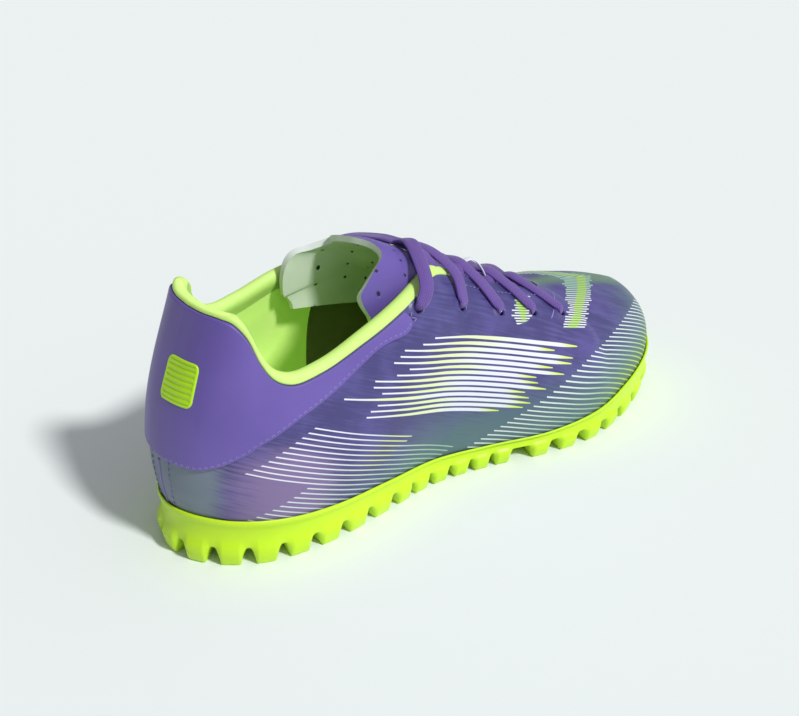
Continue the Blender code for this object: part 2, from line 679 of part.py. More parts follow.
def build_outsole():
    """The outsole: a cup with a stepped side wall, and lugs fused under it round the edge and under the foot."""
    stations = rib_stations()[0]
    turn = foot_turn(stations)
    edge = sole_height("edge", SOLE_HEIGHT, turn)
    web = web_height(turn)
    tall = edge - web
    lean = LIP_HEIGHT * np.tan(np.radians(rib_value("flare", stations)))
    rings = [
        edge_ring(turn, UNDERCUT, web),
        edge_ring(turn, 0.0002, web + 0.18 * tall),
        edge_ring(turn, 0.0009, web + 0.66 * tall),
        edge_ring(turn, 0.0, web + 0.80 * tall),
        edge_ring(turn, 0.0002, edge),
        edge_ring(turn, LIP_WIDTH - lean, edge),
        edge_ring(turn, LIP_WIDTH, edge - LIP_HEIGHT),
    ]
    points, faces = closed_between(rings)
    sole = mesh_object("outsole", points, faces, "lime")
    lugs = edge_lugs() + inner_lugs()
    points, faces = [], []
    for lug_points, lug_faces in lugs:
        faces += [tuple(v + len(points) for v in f) for f in lug_faces]
        points += list(lug_points)
    combine(sole, mesh_object("lugs", points, faces, "lime"), "UNION")
    return sole


def edge_lengths(side):
    """Angles along one side of the outline, and the length of edge up to each."""
    turn = np.linspace(0, math.pi, 400)
    plan = outline_half(side, turn)
    return turn, np.concatenate([[0], np.cumsum(np.linalg.norm(np.diff(plan, axis=0), axis=1))])


def tapered_lug(centre, along, out, half_width, half_depth, top, bottom, corners, shoulder=True):
    """One lug as a stack of polygons: wide where it leaves the web, then tapering to its flat foot.

    corners: unit shape of the lug in plan, (along, out). The outer face stays nearly upright. A lug with a
    shoulder is straighter near its foot.
    """
    levels = [(top, 1.10, 1.0), (bottom + 0.60 * (top - bottom), 0.97, 0.96), (bottom, 0.80, 0.80)]
    if not shoulder:
        levels = [levels[0], levels[2]]
    points = []
    for z, wide, deep in levels:
        for a, b in corners:
            reach = b * half_depth * (deep if b < 0 else 0.5 + 0.5 * deep)
            plan = centre + along * a * half_width * wide + out * reach
            points.append((plan[0], plan[1], z))
    n = len(corners)
    faces = [tuple(range(n)), tuple(range(len(points) - n, len(points)))]
    for level in range(len(levels) - 1):
        for k in range(n):
            a, b = level * n + k, level * n + (k + 1) % n
            faces.append((a, b, b + n, a + n))
    return points, faces


BLOCK = [(-0.7, -1.0), (0.7, -1.0), (1.0, -0.4), (1.0, 0.75), (0.72, 1.0), (-0.72, 1.0), (-1.0, 0.75), (-1.0, -0.4)]
STUD = [(math.cos(math.radians(60 * k + 30)), math.sin(math.radians(60 * k + 30))) for k in range(6)]


def edge_lugs():
    """Lugs round the edge, evenly spaced within each zone, with one shared by both sides at each end."""
    lugs = []
    for side in (LATERAL, MEDIAL):
        turn, length = edge_lengths(side)
        for zone in LUG_ZONES:
            for share in np.linspace(zone.first, zone.last, zone.count):
                shared = share in (0.0, 1.0)
                if shared and side == MEDIAL:
                    continue
                here = np.array([np.interp(share * length[-1], length, turn)])
                out = outward(side, here)[0]
                along = np.array([-out[1], out[0]])
                depth = LUG_DEPTH * zone.size
                centre = inset_outline(side, here, np.array([UNDERCUT + LUG_INSET + depth / 2]))[0]
                lift = float(spring(along_of(here))[0])
                lugs.append(
                    tapered_lug(
                        centre, along, out, LUG_WIDTH * zone.size / 2, depth / 2,
                        float(web_height(here)[0]) + LUG_ROOT, lift, BLOCK,
                    )
                )
    return lugs


def inner_lugs():
    """Rows of six-sided lugs inside the edge lugs, evenly spread across the sole."""
    lugs = []
    along, out = np.array([1.0, 0.0]), np.array([0.0, 1.0])
    margin = UNDERCUT + LUG_INSET + LUG_DEPTH + INNER_LUG_RADIUS * 1.30
    for row in LUG_ROWS:
        here = turn_of(np.array([row.along]))
        x = row.along * LENGTH
        low = outline_half(LATERAL, here)[0][1] + margin
        high = outline_half(MEDIAL, here)[0][1] - margin
        for y in np.linspace(low, high, row.count):
            lift = float(spring(row.along))
            lugs.append(
                tapered_lug(
                    np.array([x, y]), along, out, INNER_LUG_RADIUS, INNER_LUG_RADIUS,
                    float(web_height(here)[0]) + LUG_ROOT, lift, STUD, shoulder=False,
                )
            )
    return lugs


def ribbon(path, normals, width, thickness):
    """A flat lace along a path: a flat section of six sides, wide across the path and thin along the normals."""
    path, normals = np.array(path), np.array(normals)
    run = np.gradient(path, axis=0)
    run /= np.linalg.norm(run, axis=1, keepdims=True)
    across = np.cross(run, normals)
    across /= np.linalg.norm(across, axis=1, keepdims=True)
    up = np.cross(across, run)
    section = [(-1, 0), (-0.72, 1), (0.72, 1), (1, 0), (0.72, -1), (-0.72, -1)]
    points = np.concatenate([
        np.stack([p + a * u * width / 2 + n * w * thickness / 2 for u, w in section])
        for p, a, n in zip(path, across, up)
    ])
    n, faces = len(section), []
    for i in range(len(path) - 1):
        for k in range(n):
            a, b = i * n + k, i * n + (k + 1) % n
            faces.append((a, b, b + n, a + n))
    faces.append(tuple(range(n)))
    faces.append(tuple(range((len(path) - 1) * n, len(path) * n)))
    return points, faces


def surface_tree(*objects):
    """The objects' faces in one search tree."""
    points, faces = [], []
    for obj in objects:
        faces += [[v + len(points) for v in f.vertices] for f in obj.data.polygons]
        points += [v.co.copy() for v in obj.data.vertices]
    return BVHTree.FromPolygons(points, faces)


def settle(path, normals, tree):
    """Lays a strand on what is under it: never closer than the gap, and taut where it bridges a hollow."""
    clear = GAP + LACE_THICKNESS / 2
    reach = LACE_SEARCH
    run = np.gradient(path, axis=0)
    across = np.cross(run, normals)
    across /= np.linalg.norm(across, axis=1, keepdims=True)
    needed = []
    for p, n, a in zip(path, normals, across):
        lift = -reach
        for side in (-0.5, -0.25, 0.0, 0.25, 0.5):
            start = Vector(p + a * side * LACE_WIDTH + n * reach)
            hit = tree.ray_cast(start, Vector(-n))[0]
            if hit is not None:
                lift = max(lift, (hit - start).length * -1 + reach + clear)
        needed.append(lift)
    needed = np.array(needed)
    lift = needed.copy()
    for _ in range(200):
        lift[1:-1] = np.maximum(needed[1:-1], (lift[:-2] + lift[2:]) / 2)
    highest = lift.copy()
    for k in range(1, LACE_FINER):
        highest[k:] = np.maximum(highest[k:], lift[:-k])
        highest[:-k] = np.maximum(highest[:-k], lift[k:])
    return (path + normals * highest[:, None])[::LACE_FINER]


def strand(side, row, tree, raised):
    """One lace strand: out of its eyelet, over the edge of the throat, and across the tongue to the far edge."""
    here, normal = eyelet(side, row)
    at = EYELETS[row].at
    step = at - EYELETS[row - 1].at
    near = rib_top(side, np.array(at - 0.30 * step if row else TOP_CROSSING))
    far = rib_top(-side, np.array(at - 0.55 * step if row else TOP_CROSSING))
    corner = abs(rib_top(-side, np.array(THROAT_CORNER))[1])
    far[1] = -side * (min(abs(far[1]), corner) - LACE_WIDTH * 0.5 - 4 * GAP)
    knots = np.array([0.0, 0.42, 1.0])
    t = np.linspace(0, 1, (LACE_STEPS - 1) * LACE_FINER + 1)
    path = np.stack([smooth(knots, [here[k], near[k], far[k]], t) for k in range(3)], -1)
    upright = np.array([0.0, 0.0, 1.0])
    blend = ease(t / 0.75)[:, None]
    normals = normal * (1 - blend) + upright * blend
    normals /= np.linalg.norm(normals, axis=1, keepdims=True)
    path = settle(path, normals, tree)
    t, normals = t[::LACE_FINER], normals[::LACE_FINER]
    path += upright * (raised * LACE_THICKNESS * np.sin(math.pi * ease((t - 0.35) / 0.65)) ** 2)[:, None]
    return ribbon(path, normals, LACE_WIDTH, LACE_THICKNESS)


def build_laces(upper, tongue):
    """One crossing at each pair of eyelets: two strands, joined where they meet over the tongue."""
    tree = surface_tree(upper, tongue)
    for row in range(len(EYELETS)):
        crossing = mesh_object(f"lace_cross_{row + 1}", *strand(MEDIAL, row, tree, 0.0), "lace")
        over = mesh_object("over", *strand(LATERAL, row, tree, 0.55), "lace")
        combine(crossing, over, "UNION")


def centre_on_origin():
    """Moves the whole shoe so that the middle of its box is above the origin and its lowest point is on Z = 0."""
    solids = [obj for obj in bpy.data.objects if obj.type == "MESH"]
    corners = np.array([v.co for obj in solids for v in obj.data.vertices])
    low, high = corners.min(0), corners.max(0)
    shift = Vector((-(low[0] + high[0]) / 2, -(low[1] + high[1]) / 2, -low[2]))
    for obj in solids:
        obj.data.transform(Matrix.Translation(shift))
    return shift


def main():
    for obj in list(bpy.data.objects):
        bpy.data.objects.remove(obj)
    build_outsole()
    upper = build_upper()
    build_heel_panel()
    tongue = build_tongue(upper)
    build_insole()
    build_laces(upper, tongue)
    return centre_on_origin()


main()
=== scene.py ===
"""Looks of a turf shoe for the right foot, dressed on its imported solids.

The shoe is worked out in its own measures: metres, X from the back of the sole to the toe, Y from the sole's axis
with the outer (lateral) side at -Y, Z up from the floor. HEEL is where that zero lies in the frame.
"""

import math
from collections import namedtuple
from functools import partial

import bmesh
import bpy
import numpy as np
from mathutils import Matrix, Vector
from mathutils.bvhtree import BVHTree


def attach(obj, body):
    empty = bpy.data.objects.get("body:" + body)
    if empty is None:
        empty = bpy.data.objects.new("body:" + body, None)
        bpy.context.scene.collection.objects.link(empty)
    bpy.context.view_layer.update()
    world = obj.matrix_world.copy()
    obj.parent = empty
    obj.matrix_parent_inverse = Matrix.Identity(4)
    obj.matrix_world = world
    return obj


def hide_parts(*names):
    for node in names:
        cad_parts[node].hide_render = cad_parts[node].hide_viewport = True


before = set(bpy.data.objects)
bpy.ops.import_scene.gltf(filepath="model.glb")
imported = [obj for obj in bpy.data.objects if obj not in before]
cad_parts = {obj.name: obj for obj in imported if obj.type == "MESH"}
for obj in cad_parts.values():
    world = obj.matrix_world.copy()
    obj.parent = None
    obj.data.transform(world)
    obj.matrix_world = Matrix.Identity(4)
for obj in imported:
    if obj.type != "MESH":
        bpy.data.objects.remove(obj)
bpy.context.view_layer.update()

# Driving sizes of the shoe.
LENGTH = 0.290  # sole, back of the heel to tip of the toe
BALL_WIDTH = 0.098  # sole at the ball of the foot
SOLE_HEIGHT = 0.0233  # floor to the sole's top edge at the back of the heel
HEEL_HEIGHT = 0.107  # floor to the top of the heel tab
INSTEP_HEIGHT = 0.099  # floor to the top corner of the throat
TOE_HEIGHT = 0.051  # floor to the upper's top above the toes
TOE_SPRING = 0.014  # how far the tip of the sole is lifted off the floor

# Walls and clearances.
GAP = 0.0003  # between pieces that meet
WALL = 0.0022  # upper, skin and lining together
COLLAR_WALL = 0.0048  # upper where the collar is padded
RIM_CROWN = 0.0011  # how far the padded rim is rounded over
PANEL_WALL = 0.0009  # heel panel, sewn over the upper
TONGUE_WALL = 0.0026
INSOLE_WALL = 0.0036
INSOLE_BEVEL = 0.0009

# Outsole.
LIP_WIDTH = 0.0015  # wall of the cup that holds the upper
LIP_HEIGHT = 0.0020
UNDERCUT = 0.0005  # how far the side wall draws in at the web
LUG_HEIGHT = 0.0080  # floor to the web between the lugs
LUG_ROOT = 0.0010  # how far a lug's root is sunk into the web, so that the two fuse
LUG_INSET = 0.0003  # edge lugs behind the face of the side wall
INNER_LUG_RADIUS = 0.0050

# Laces.
LACE_WIDTH = 0.0064
LACE_THICKNESS = 0.0014
EYELET_RADIUS = 0.0021
EYELET_SETBACK = 0.0150  # eyelet centre to the edge of the throat, along the surface
LACE_SEARCH = 0.03  # how far above a strand the surface under it is looked for

# Pairs of eyelets, from the top down. at: rib. setback: share of EYELET_SETBACK.
Eyelet = namedtuple("Eyelet", "at setback")
EYELETS = [Eyelet(*row) for row in (
    (0.368, 0.36), (0.457, 1.03), (0.529, 1.09), (0.585, 1.16), (0.642, 1.33),
)]

LATERAL, MEDIAL = -1.0, 1.0

# Sole outline. along: share of LENGTH from the heel. lateral, medial: shares of BALL_WIDTH to each side of the
# axis. edge: top edge of the sole as a share of SOLE_HEIGHT. web: underside between lugs, share of LUG_HEIGHT.
Outline = namedtuple("Outline", "along lateral medial edge web")
SOLE_OUTLINE = [Outline(*row) for row in (
    (0.000, 0.000, 0.000, 1.000, 1.10), (0.020, 0.168, 0.168, 0.985, 1.10),
    (0.050, 0.258, 0.250, 0.940, 1.08), (0.100, 0.338, 0.314, 0.885, 1.04),
    (0.150, 0.368, 0.338, 0.815, 1.00), (0.200, 0.378, 0.343, 0.772, 0.98),
    (0.300, 0.358, 0.318, 0.688, 0.96), (0.400, 0.335, 0.290, 0.600, 0.92),
    (0.500, 0.386, 0.296, 0.535, 0.92), (0.600, 0.474, 0.357, 0.545, 0.94),
    (0.700, 0.518, 0.444, 0.670, 0.96), (0.800, 0.470, 0.484, 0.845, 0.98),
    (0.850, 0.424, 0.469, 0.935, 0.98), (0.900, 0.356, 0.425, 1.025, 0.98),
    (0.950, 0.240, 0.335, 1.100, 0.97), (0.980, 0.118, 0.232, 1.140, 0.96),
    (1.000, -0.071, 0.071, 1.165, 0.95),
)]

# Ribs of the upper, from the back of the heel (0) to the tip of the toe (1). foot: where the rib leaves the sole,
# share of LENGTH. x: share of LENGTH of the rib's top. lateral, medial: the top's distance to each side, share of
# BALL_WIDTH. heel, instep, toe: how much of each height the top takes. flare: outward lean at the sole, degrees.
# rise, reach: lengths of the rib's lower and upper tangents, shares of its height and of its span. arrive:
# steepness at the top, degrees.
Rib = namedtuple("Rib", "at foot x lateral medial heel instep toe flare rise arrive reach")
RIBS = [Rib(*row) for row in (
    (0.000, 0.000, 0.0510, 0.000, 0.000, 0.980, 0.000, 0.000, 17, 0.40, 75, 0.29),
    (0.030, 0.005, 0.0535, 0.092, 0.092, 0.981, 0.000, 0.000, 17, 0.40, 75, 0.29),
    (0.060, 0.018, 0.0620, 0.165, 0.163, 0.980, 0.000, 0.000, 17, 0.40, 76, 0.29),
    (0.088, 0.035, 0.0740, 0.212, 0.208, 0.968, 0.000, 0.000, 15, 0.40, 77, 0.29),
    (0.110, 0.050, 0.0850, 0.240, 0.236, 0.925, 0.000, 0.000, 14, 0.40, 77, 0.29),
    (0.135, 0.069, 0.0965, 0.264, 0.260, 0.842, 0.000, 0.000, 12, 0.40, 77, 0.30),
    (0.160, 0.090, 0.1120, 0.285, 0.282, 0.766, 0.000, 0.000, 11, 0.40, 76, 0.30),
    (0.190, 0.117, 0.1380, 0.302, 0.301, 0.723, 0.000, 0.000, 10, 0.40, 75, 0.30),
    (0.225, 0.155, 0.1790, 0.314, 0.314, 0.734, 0.000, 0.000, 9, 0.40, 72, 0.30),
    (0.280, 0.224, 0.2480, 0.316, 0.318, 0.000, 0.862, 0.000, 8, 0.41, 67, 0.30),
    (0.340, 0.297, 0.3170, 0.290, 0.296, 0.000, 0.926, 0.000, 9, 0.41, 58, 0.30),
    (0.385, 0.355, 0.3690, 0.245, 0.252, 0.000, 0.970, 0.000, 10, 0.41, 48, 0.29),
    (0.420, 0.398, 0.4090, 0.188, 0.198, 0.000, 0.985, 0.000, 11, 0.41, 38, 0.29),
    (0.460, 0.448, 0.4570, 0.150, 0.160, 0.000, 0.932, 0.000, 12, 0.42, 30, 0.30),
    (0.520, 0.520, 0.5240, 0.138, 0.146, 0.000, 0.846, 0.000, 12, 0.42, 24, 0.36),
    (0.580, 0.595, 0.5930, 0.130, 0.136, 0.000, 0.768, 0.000, 11, 0.43, 16, 0.42),
    (0.640, 0.668, 0.6560, 0.108, 0.116, 0.000, 0.700, 0.000, 10, 0.47, 7, 0.46),
    (0.680, 0.714, 0.6960, 0.056, 0.066, 0.000, 0.660, 0.000, 9, 0.50, 1, 0.50),
    (0.700, 0.736, 0.7080, -0.005, 0.005, 0.000, 0.648, 0.000, 9, 0.51, 0, 0.50),
    (0.780, 0.822, 0.7720, -0.020, 0.020, 0.000, 0.000, 1.190, 8, 0.52, 0, 0.50),
    (0.860, 0.902, 0.8300, -0.036, 0.036, 0.000, 0.000, 1.108, 7, 0.52, 0, 0.50),
    (0.930, 0.968, 0.8760, -0.050, 0.050, 0.000, 0.000, 1.045, 6, 0.54, 0, 0.50),
    (1.000, 1.000, 0.9080, -0.060, 0.060, 0.000, 0.000, 1.000, 5, 0.56, 0, 0.52),
)]
THROAT_CORNER = 0.420  # rib where the collar turns into the throat
THROAT_END = 0.700  # rib where the two sides meet in one ridge
MEDIAL_LIFT = 0.0070  # collar is that much higher on the inner side

# Lower edge of the heel panel, round its front to the binding. at: rib. rise: share of the rib's height.
Seam = namedtuple("Seam", "at rise")
PANEL_PATH = [Seam(*row) for row in (
    (0.000, 0.262), (0.032, 0.264), (0.064, 0.270), (0.092, 0.308), (0.120, 0.392),
    (0.138, 0.477), (0.156, 0.564), (0.176, 0.656), (0.197, 0.734), (0.220, 0.784),
    (0.245, 0.830), (0.270, 0.868), (0.295, 0.893), (0.316, 0.884), (0.334, 0.862),
    (0.345, 0.860), (0.352, 0.880), (0.352, 0.915), (0.348, 0.950), (0.343, 0.974),
)]

# Tongue, from its root under the vamp (0) to its free end (1). x: share of LENGTH. height: top of the arch, share
# of INSTEP_HEIGHT. width, drop: half-width and depth of the arch, shares of BALL_WIDTH. offset: how far the arch
# sits towards the inner side, share of BALL_WIDTH. cant: slope of its top down towards the inner side, degrees.
TongueRow = namedtuple("TongueRow", "at x height width drop offset cant")
TONGUE = [TongueRow(*row) for row in (
    (0.00, 0.760, 0.520, 0.150, 0.050, 0.000, 0),
    (0.14, 0.690, 0.612, 0.180, 0.090, 0.000, 0),
    (0.32, 0.620, 0.715, 0.205, 0.130, 0.000, 0),
    (0.50, 0.530, 0.838, 0.225, 0.200, 0.000, 0),
    (0.66, 0.455, 0.948, 0.232, 0.275, 0.000, 0),
    (0.80, 0.387, 1.058, 0.225, 0.330, 0.004, 4),
    (0.90, 0.330, 1.130, 0.224, 0.350, 0.012, 10),
    (1.00, 0.246, 1.185, 0.238, 0.360, 0.032, 15),
)]
TONGUE_ARCH_POWER = 2.9
# Free end of the tongue across the arch. across: -1 at the outer edge to 1 at the inner edge. back: how far the
# end reaches, share of the tongue's length.
TongueEnd = namedtuple("TongueEnd", "across back")
TONGUE_END = [TongueEnd(*row) for row in (
    (-1.00, 0.950), (-0.85, 0.985), (-0.62, 0.965), (-0.42, 0.930), (-0.20, 0.938), (0.05, 0.945),
    (0.18, 0.940), (0.28, 0.912), (0.50, 0.945), (0.74, 1.000), (1.00, 0.960),
)]
# The same for the cloth as it is cut and seen.
TONGUE_CUT = [TongueEnd(*row) for row in (
    (-1.00, 0.945), (-0.94, 0.962), (-0.87, 0.969), (-0.78, 0.957), (-0.61, 0.933), (-0.42, 0.908),
    (-0.20, 0.912), (-0.02, 0.930), (0.10, 0.936), (0.18, 0.934), (0.28, 0.930), (0.42, 0.954),
    (0.54, 0.982), (0.63, 0.998), (0.74, 0.994), (0.88, 0.986), (1.00, 0.974),
)]

# Lugs round the edge, on each side. first, last: shares of the edge's length from the heel. size: share of
# LUG_WIDTH. The lugs at both ends of the shoe are shared by the two sides.
LUG_WIDTH = 0.0122
LUG_DEPTH = 0.0100
LugZone = namedtuple("LugZone", "first last count size")
LUG_ZONES = [
    LugZone(0.000, 0.300, 8, 1.00),
    LugZone(0.340, 0.506, 6, 0.80),
    LugZone(0.566, 1.000, 10, 1.00),
]
# Rows of lugs under the foot. along: share of LENGTH. count: lugs across the sole.
LugRow = namedtuple("LugRow", "along count")
LUG_ROWS = [LugRow(*row) for row in (
    (0.085, 2), (0.140, 3), (0.195, 2), (0.250, 3), (0.315, 2), (0.400, 2), (0.485, 2),
    (0.560, 3), (0.618, 4), (0.676, 3), (0.734, 4), (0.792, 3), (0.850, 4), (0.908, 3),
)]


def smooth(knots, values, at):
    """A cubic curve through a table's rows, whose slope at each row comes from the rows beside it."""
    knots, values, at = (np.asarray(a, float) for a in (knots, values, at))
    step = np.diff(knots)
    secant = np.diff(values) / step
    slope = np.empty_like(values)
    slope[0], slope[-1] = secant[0], secant[-1]
    slope[1:-1] = (step[1:] * secant[:-1] + step[:-1] * secant[1:]) / (step[1:] + step[:-1])
    i = np.clip(np.searchsorted(knots, at, side="right") - 1, 0, len(step) - 1)
    h = step[i]
    t = np.clip((at - knots[i]) / h, 0.0, 1.0)
    return (
        values[i] * (1 + 2 * t) * (1 - t) ** 2
        + values[i + 1] * t**2 * (3 - 2 * t)
        + h * (slope[i] * t * (1 - t) ** 2 - slope[i + 1] * t**2 * (1 - t))
    )


def ease(t):
    """0 before 0, 1 after 1, and a soft S between them."""
    t = np.clip(t, 0.0, 1.0)
    return t * t * (3 - 2 * t)


def column(table, name):
    """One named column of a table."""
    return np.array([getattr(row, name) for row in table], float)


def turn_of(along):
    """A place along the sole as an angle, 0 at the heel and pi at the toe, so that both ends come out round."""
    return np.arccos(1 - 2 * np.asarray(along, float))


def along_of(turn):
    return (1 - np.cos(turn)) / 2


def sole_height(name, size, turn):
    """One of the sole outline's height columns, in metres."""
    return smooth(turn_of(column(SOLE_OUTLINE, "along")), column(SOLE_OUTLINE, name), turn) * size


def spring(along):
    """How far the underside is lifted at the toe."""
    return TOE_SPRING * np.clip((along - 0.80) / 0.20, 0.0, 1.0) ** 2


def outline_half(side, turn):
    """The sole's edge in plan on one side, at angles from turn_of."""
    name = "lateral" if side == LATERAL else "medial"
    y = smooth(turn_of(column(SOLE_OUTLINE, "along")), column(SOLE_OUTLINE, name), turn)
    return np.stack([along_of(turn) * LENGTH, side * y * BALL_WIDTH], -1)


def outward(side, turn):
    """Unit normals of the sole's edge in plan, pointing away from the foot."""
    nudge = 1e-4
    ahead = outline_half(side, np.minimum(turn + nudge, math.pi))
    behind = outline_half(side, np.maximum(turn - nudge, 0.0))
    run = ahead - behind
    normal = np.stack([-side * run[..., 1], side * run[..., 0]], -1)
    ends = (np.asarray(turn) < nudge) | (np.asarray(turn) > math.pi - nudge)
    normal[ends] = np.where(np.asarray(turn)[ends, None] < 1.0, [[-1.0, 0.0]], [[1.0, 0.0]])
    return normal / np.linalg.norm(normal, axis=-1, keepdims=True)


def inset_outline(side, turn, inset):
    """The sole's edge moved inwards."""
    return outline_half(side, turn) - outward(side, turn) * np.asarray(inset)[..., None]


def bed_height(turn):
    """The floor of the cup that the upper and the insole stand on."""
    return sole_height("edge", SOLE_HEIGHT, turn) - LIP_HEIGHT


def rib_value(name, at):
    return smooth(column(RIBS, "at"), column(RIBS, name), at)


def foot_turn(at):
    """Where each rib leaves the sole, as an angle from turn_of."""
    return smooth(column(RIBS, "at"), turn_of(column(RIBS, "foot")), at)


def rib_foot(side, at):
    """Where each rib leaves the sole: just inside the cup's lip and just above its bed."""
    turn = foot_turn(at)
    plan = inset_outline(side, turn, np.full(np.shape(at), LIP_WIDTH + GAP))
    return np.concatenate([plan, (bed_height(turn) + GAP)[..., None]], -1), outward(side, turn)


def top_heights():
    """The height of each rib's top, from the three named heights."""
    return (
        column(RIBS, "heel") * HEEL_HEIGHT
        + column(RIBS, "instep") * INSTEP_HEIGHT
        + column(RIBS, "toe") * TOE_HEIGHT
    )


def rib_top(side, at):
    """The rim of the collar and throat, and then the ridge of the vamp."""
    knots = column(RIBS, "at")
    name = "lateral" if side == LATERAL else "medial"
    y = side * smooth(knots, column(RIBS, name), at) * BALL_WIDTH
    joined = (at > THROAT_END) & (at < RIDGE_JOIN)
    y = np.where(joined, np.interp(at, [THROAT_END, RIDGE_JOIN], [0.49 * MM, 1.96 * MM]), y)
    x = smooth(knots, column(RIBS, "x"), at) * LENGTH
    z = smooth(knots, top_heights(), at)
    if side == MEDIAL:
        z = z + MEDIAL_LIFT * ease((at - 0.05) / 0.13) * ease((0.46 - at) / 0.26)
    return np.stack([x, y, z], -1)


def upper_point(side, at, rise):
    """The outer surface of the upper. at: rib, 0 to 1. rise: 0 at the sole, 1 at the rim or ridge.

    Each rib is a cubic curve that leaves the sole with the table's flare and reaches its top with the table's
    steepness. On the ridge it arrives in the ridge's own tangent plane, so that the two sides meet smoothly.
    """
    foot, away = rib_foot(side, at)
    top = rib_top(side, at)
    span = top - foot
    across = span[..., :2] / np.maximum(np.linalg.norm(span[..., :2], axis=-1, keepdims=True), 1e-6)
    lean = ease((at - 0.42) / 0.20)[..., None]
    inward = -away * (1 - lean) + across * lean
    inward /= np.linalg.norm(inward, axis=-1, keepdims=True)
    nudge = 1e-3
    low, high = np.clip(at - nudge, THROAT_END, 1.0), np.clip(at + nudge, THROAT_END + 2 * nudge, 1.0)
    ridge = rib_top(LATERAL, high) - rib_top(LATERAL, low)
    run = np.linalg.norm(ridge[..., :2], axis=-1)
    climb = (ridge[..., 2] / run) * (inward * ridge[..., :2]).sum(-1) / run
    climb = climb * ease((at - THROAT_END + 0.06) / 0.06)
    flare = np.radians(rib_value("flare", at))
    arrive = np.radians(rib_value("arrive", at))
    height = np.maximum(span[..., 2], 0.0)
    lower = (rib_value("rise", at) * height)[..., None] * np.concatenate(
        [away * np.sin(flare)[..., None], np.cos(flare)[..., None]], -1
    )
    heading = np.concatenate(
        [inward * np.cos(arrive)[..., None], (np.sin(arrive) + climb)[..., None]], -1
    )
    upper = (rib_value("reach", at) * np.linalg.norm(span, axis=-1))[..., None] * heading
    t = np.asarray(rise)[..., None]
    return (
        foot * (1 - t) ** 3
        + (foot + lower) * 3 * t * (1 - t) ** 2
        + (top - upper) * 3 * t**2 * (1 - t)
        + top * t**3
    )


def upper_normal(side, at, rise):
    """Outward unit normals of the upper's outer surface."""
    nudge = 1e-3
    before, after = np.clip(at - nudge, 0, 1), np.clip(at + nudge, 0, 1)
    along = upper_point(side, after, rise) - upper_point(side, before, rise)
    up = upper_point(side, at, np.clip(rise + nudge, 0, 1)) - upper_point(side, at, np.clip(rise - nudge, 0, 1))
    normal = np.cross(along, up) * -side
    return normal / np.linalg.norm(normal, axis=-1, keepdims=True)


def wall_at(at, rise):
    """Thickness of the upper: thin in front, padded round the collar."""
    padded = ease((rise - 0.42) / 0.36) * ease((0.46 - at) / 0.09)
    return WALL + (COLLAR_WALL - WALL) * padded


def eyelet(side, row):
    """Centre and outward normal of one eyelet. Row 0 is the top one."""
    at = EYELETS[row].at
    rise = np.linspace(0.3, 1.0, 141)
    rib = upper_point(side, np.full(len(rise), at), rise)
    left = np.cumsum(np.linalg.norm(np.diff(rib[::-1], axis=0), axis=1))[::-1]
    k = int(np.argmin(np.abs(left - EYELET_SETBACK * EYELETS[row].setback)))
    return rib[k], upper_normal(side, np.array(at), np.array(rise[k]))


def tongue_point(at, across, sunk=0.0):
    """The tongue's outer surface: an arch over the instep. across runs from -1 to 1. sunk moves it inwards."""
    knots = column(TONGUE, "at")
    x = smooth(knots, column(TONGUE, "x"), at) * LENGTH
    top = smooth(knots, column(TONGUE, "height"), at) * INSTEP_HEIGHT
    width = smooth(knots, column(TONGUE, "width"), at) * BALL_WIDTH - sunk
    drop = smooth(knots, column(TONGUE, "drop"), at) * BALL_WIDTH - sunk
    offset = smooth(knots, column(TONGUE, "offset"), at) * BALL_WIDTH
    cant = np.tan(np.radians(smooth(knots, column(TONGUE, "cant"), at)))
    angle = across * math.pi / 2
    power = 2 / TONGUE_ARCH_POWER
    y = width * np.sign(np.sin(angle)) * np.abs(np.sin(angle)) ** power
    z = -drop * (1 - np.clip(np.cos(angle), 0, 1) ** power) - sunk
    return np.stack([x, y + offset, top + z - y * cant], -1)


def web_height(turn):
    """Underside of the sole between its lugs."""
    return sole_height("web", LUG_HEIGHT, turn) + spring(along_of(turn))


def lengths(points):
    """How far along a path each of its points is."""
    return np.concatenate([[0], np.cumsum(np.linalg.norm(np.diff(points, axis=0), axis=1))])


def edge_lengths(side):
    """Angles along one side of the outline, and the length of edge up to each."""
    turn = np.linspace(0, math.pi, 400)
    plan = outline_half(side, turn)
    return turn, lengths(plan)


# Fineness of the skins.
SKIN_COLUMNS = ((0.0, 86), (0.35, 126), (0.66, 14), (THROAT_END, 62))  # ribs from each place on
SKIN_ROWS = ((0.0, 36), (0.68, 34))  # rows from each height on
SOLE_COLUMNS = 760  # stations along each side of the sole

MM = 0.001
EYELET_RING = 0.00075  # how far the skin is raised round a lace hole
RIDGE_JOIN = 0.78  # rib to which both halves share one straight line on from the throat's front
FRONT_LINING = 0.348  # rib in front of which the lining is a darker cloth, darkened further as painted shade of the deep inside
BINDING_END = 0.464  # rib where the padded binding of the collar ends
BINDING_BULGE = 0.0007  # how far the binding stands off the skin
BINDING_INSIDE = 0.0085  # how far it comes down inside the collar
LUG_BULGE = 0.0015  # how far an edge lug stands out under the wall
LACE_FULLNESS = 0.0021  # thickness of a lace as it is seen, with its soft core
THREAD = 0.00042  # sewing thread
TOP_NEAR, TOP_FAR = 0.385, 0.428  # ribs over which the top crossing passes

# Binding of the collar. at: rib. down: how far it comes down outside, mm. up: how far it stands over the rim, mm.
Binding = namedtuple("Binding", "at down up")
BINDING = [Binding(*row) for row in (
    (0.000, 1.0, 0.1), (0.070, 1.2, 0.2), (0.100, 2.4, 0.8), (0.135, 3.4, 1.2), (0.170, 2.0, 1.8),
    (0.220, 1.0, 2.4), (0.300, 1.4, 2.7), (0.360, 1.6, 3.0), (0.420, 1.9, 3.0), (0.464, 1.4, 1.4),
)]


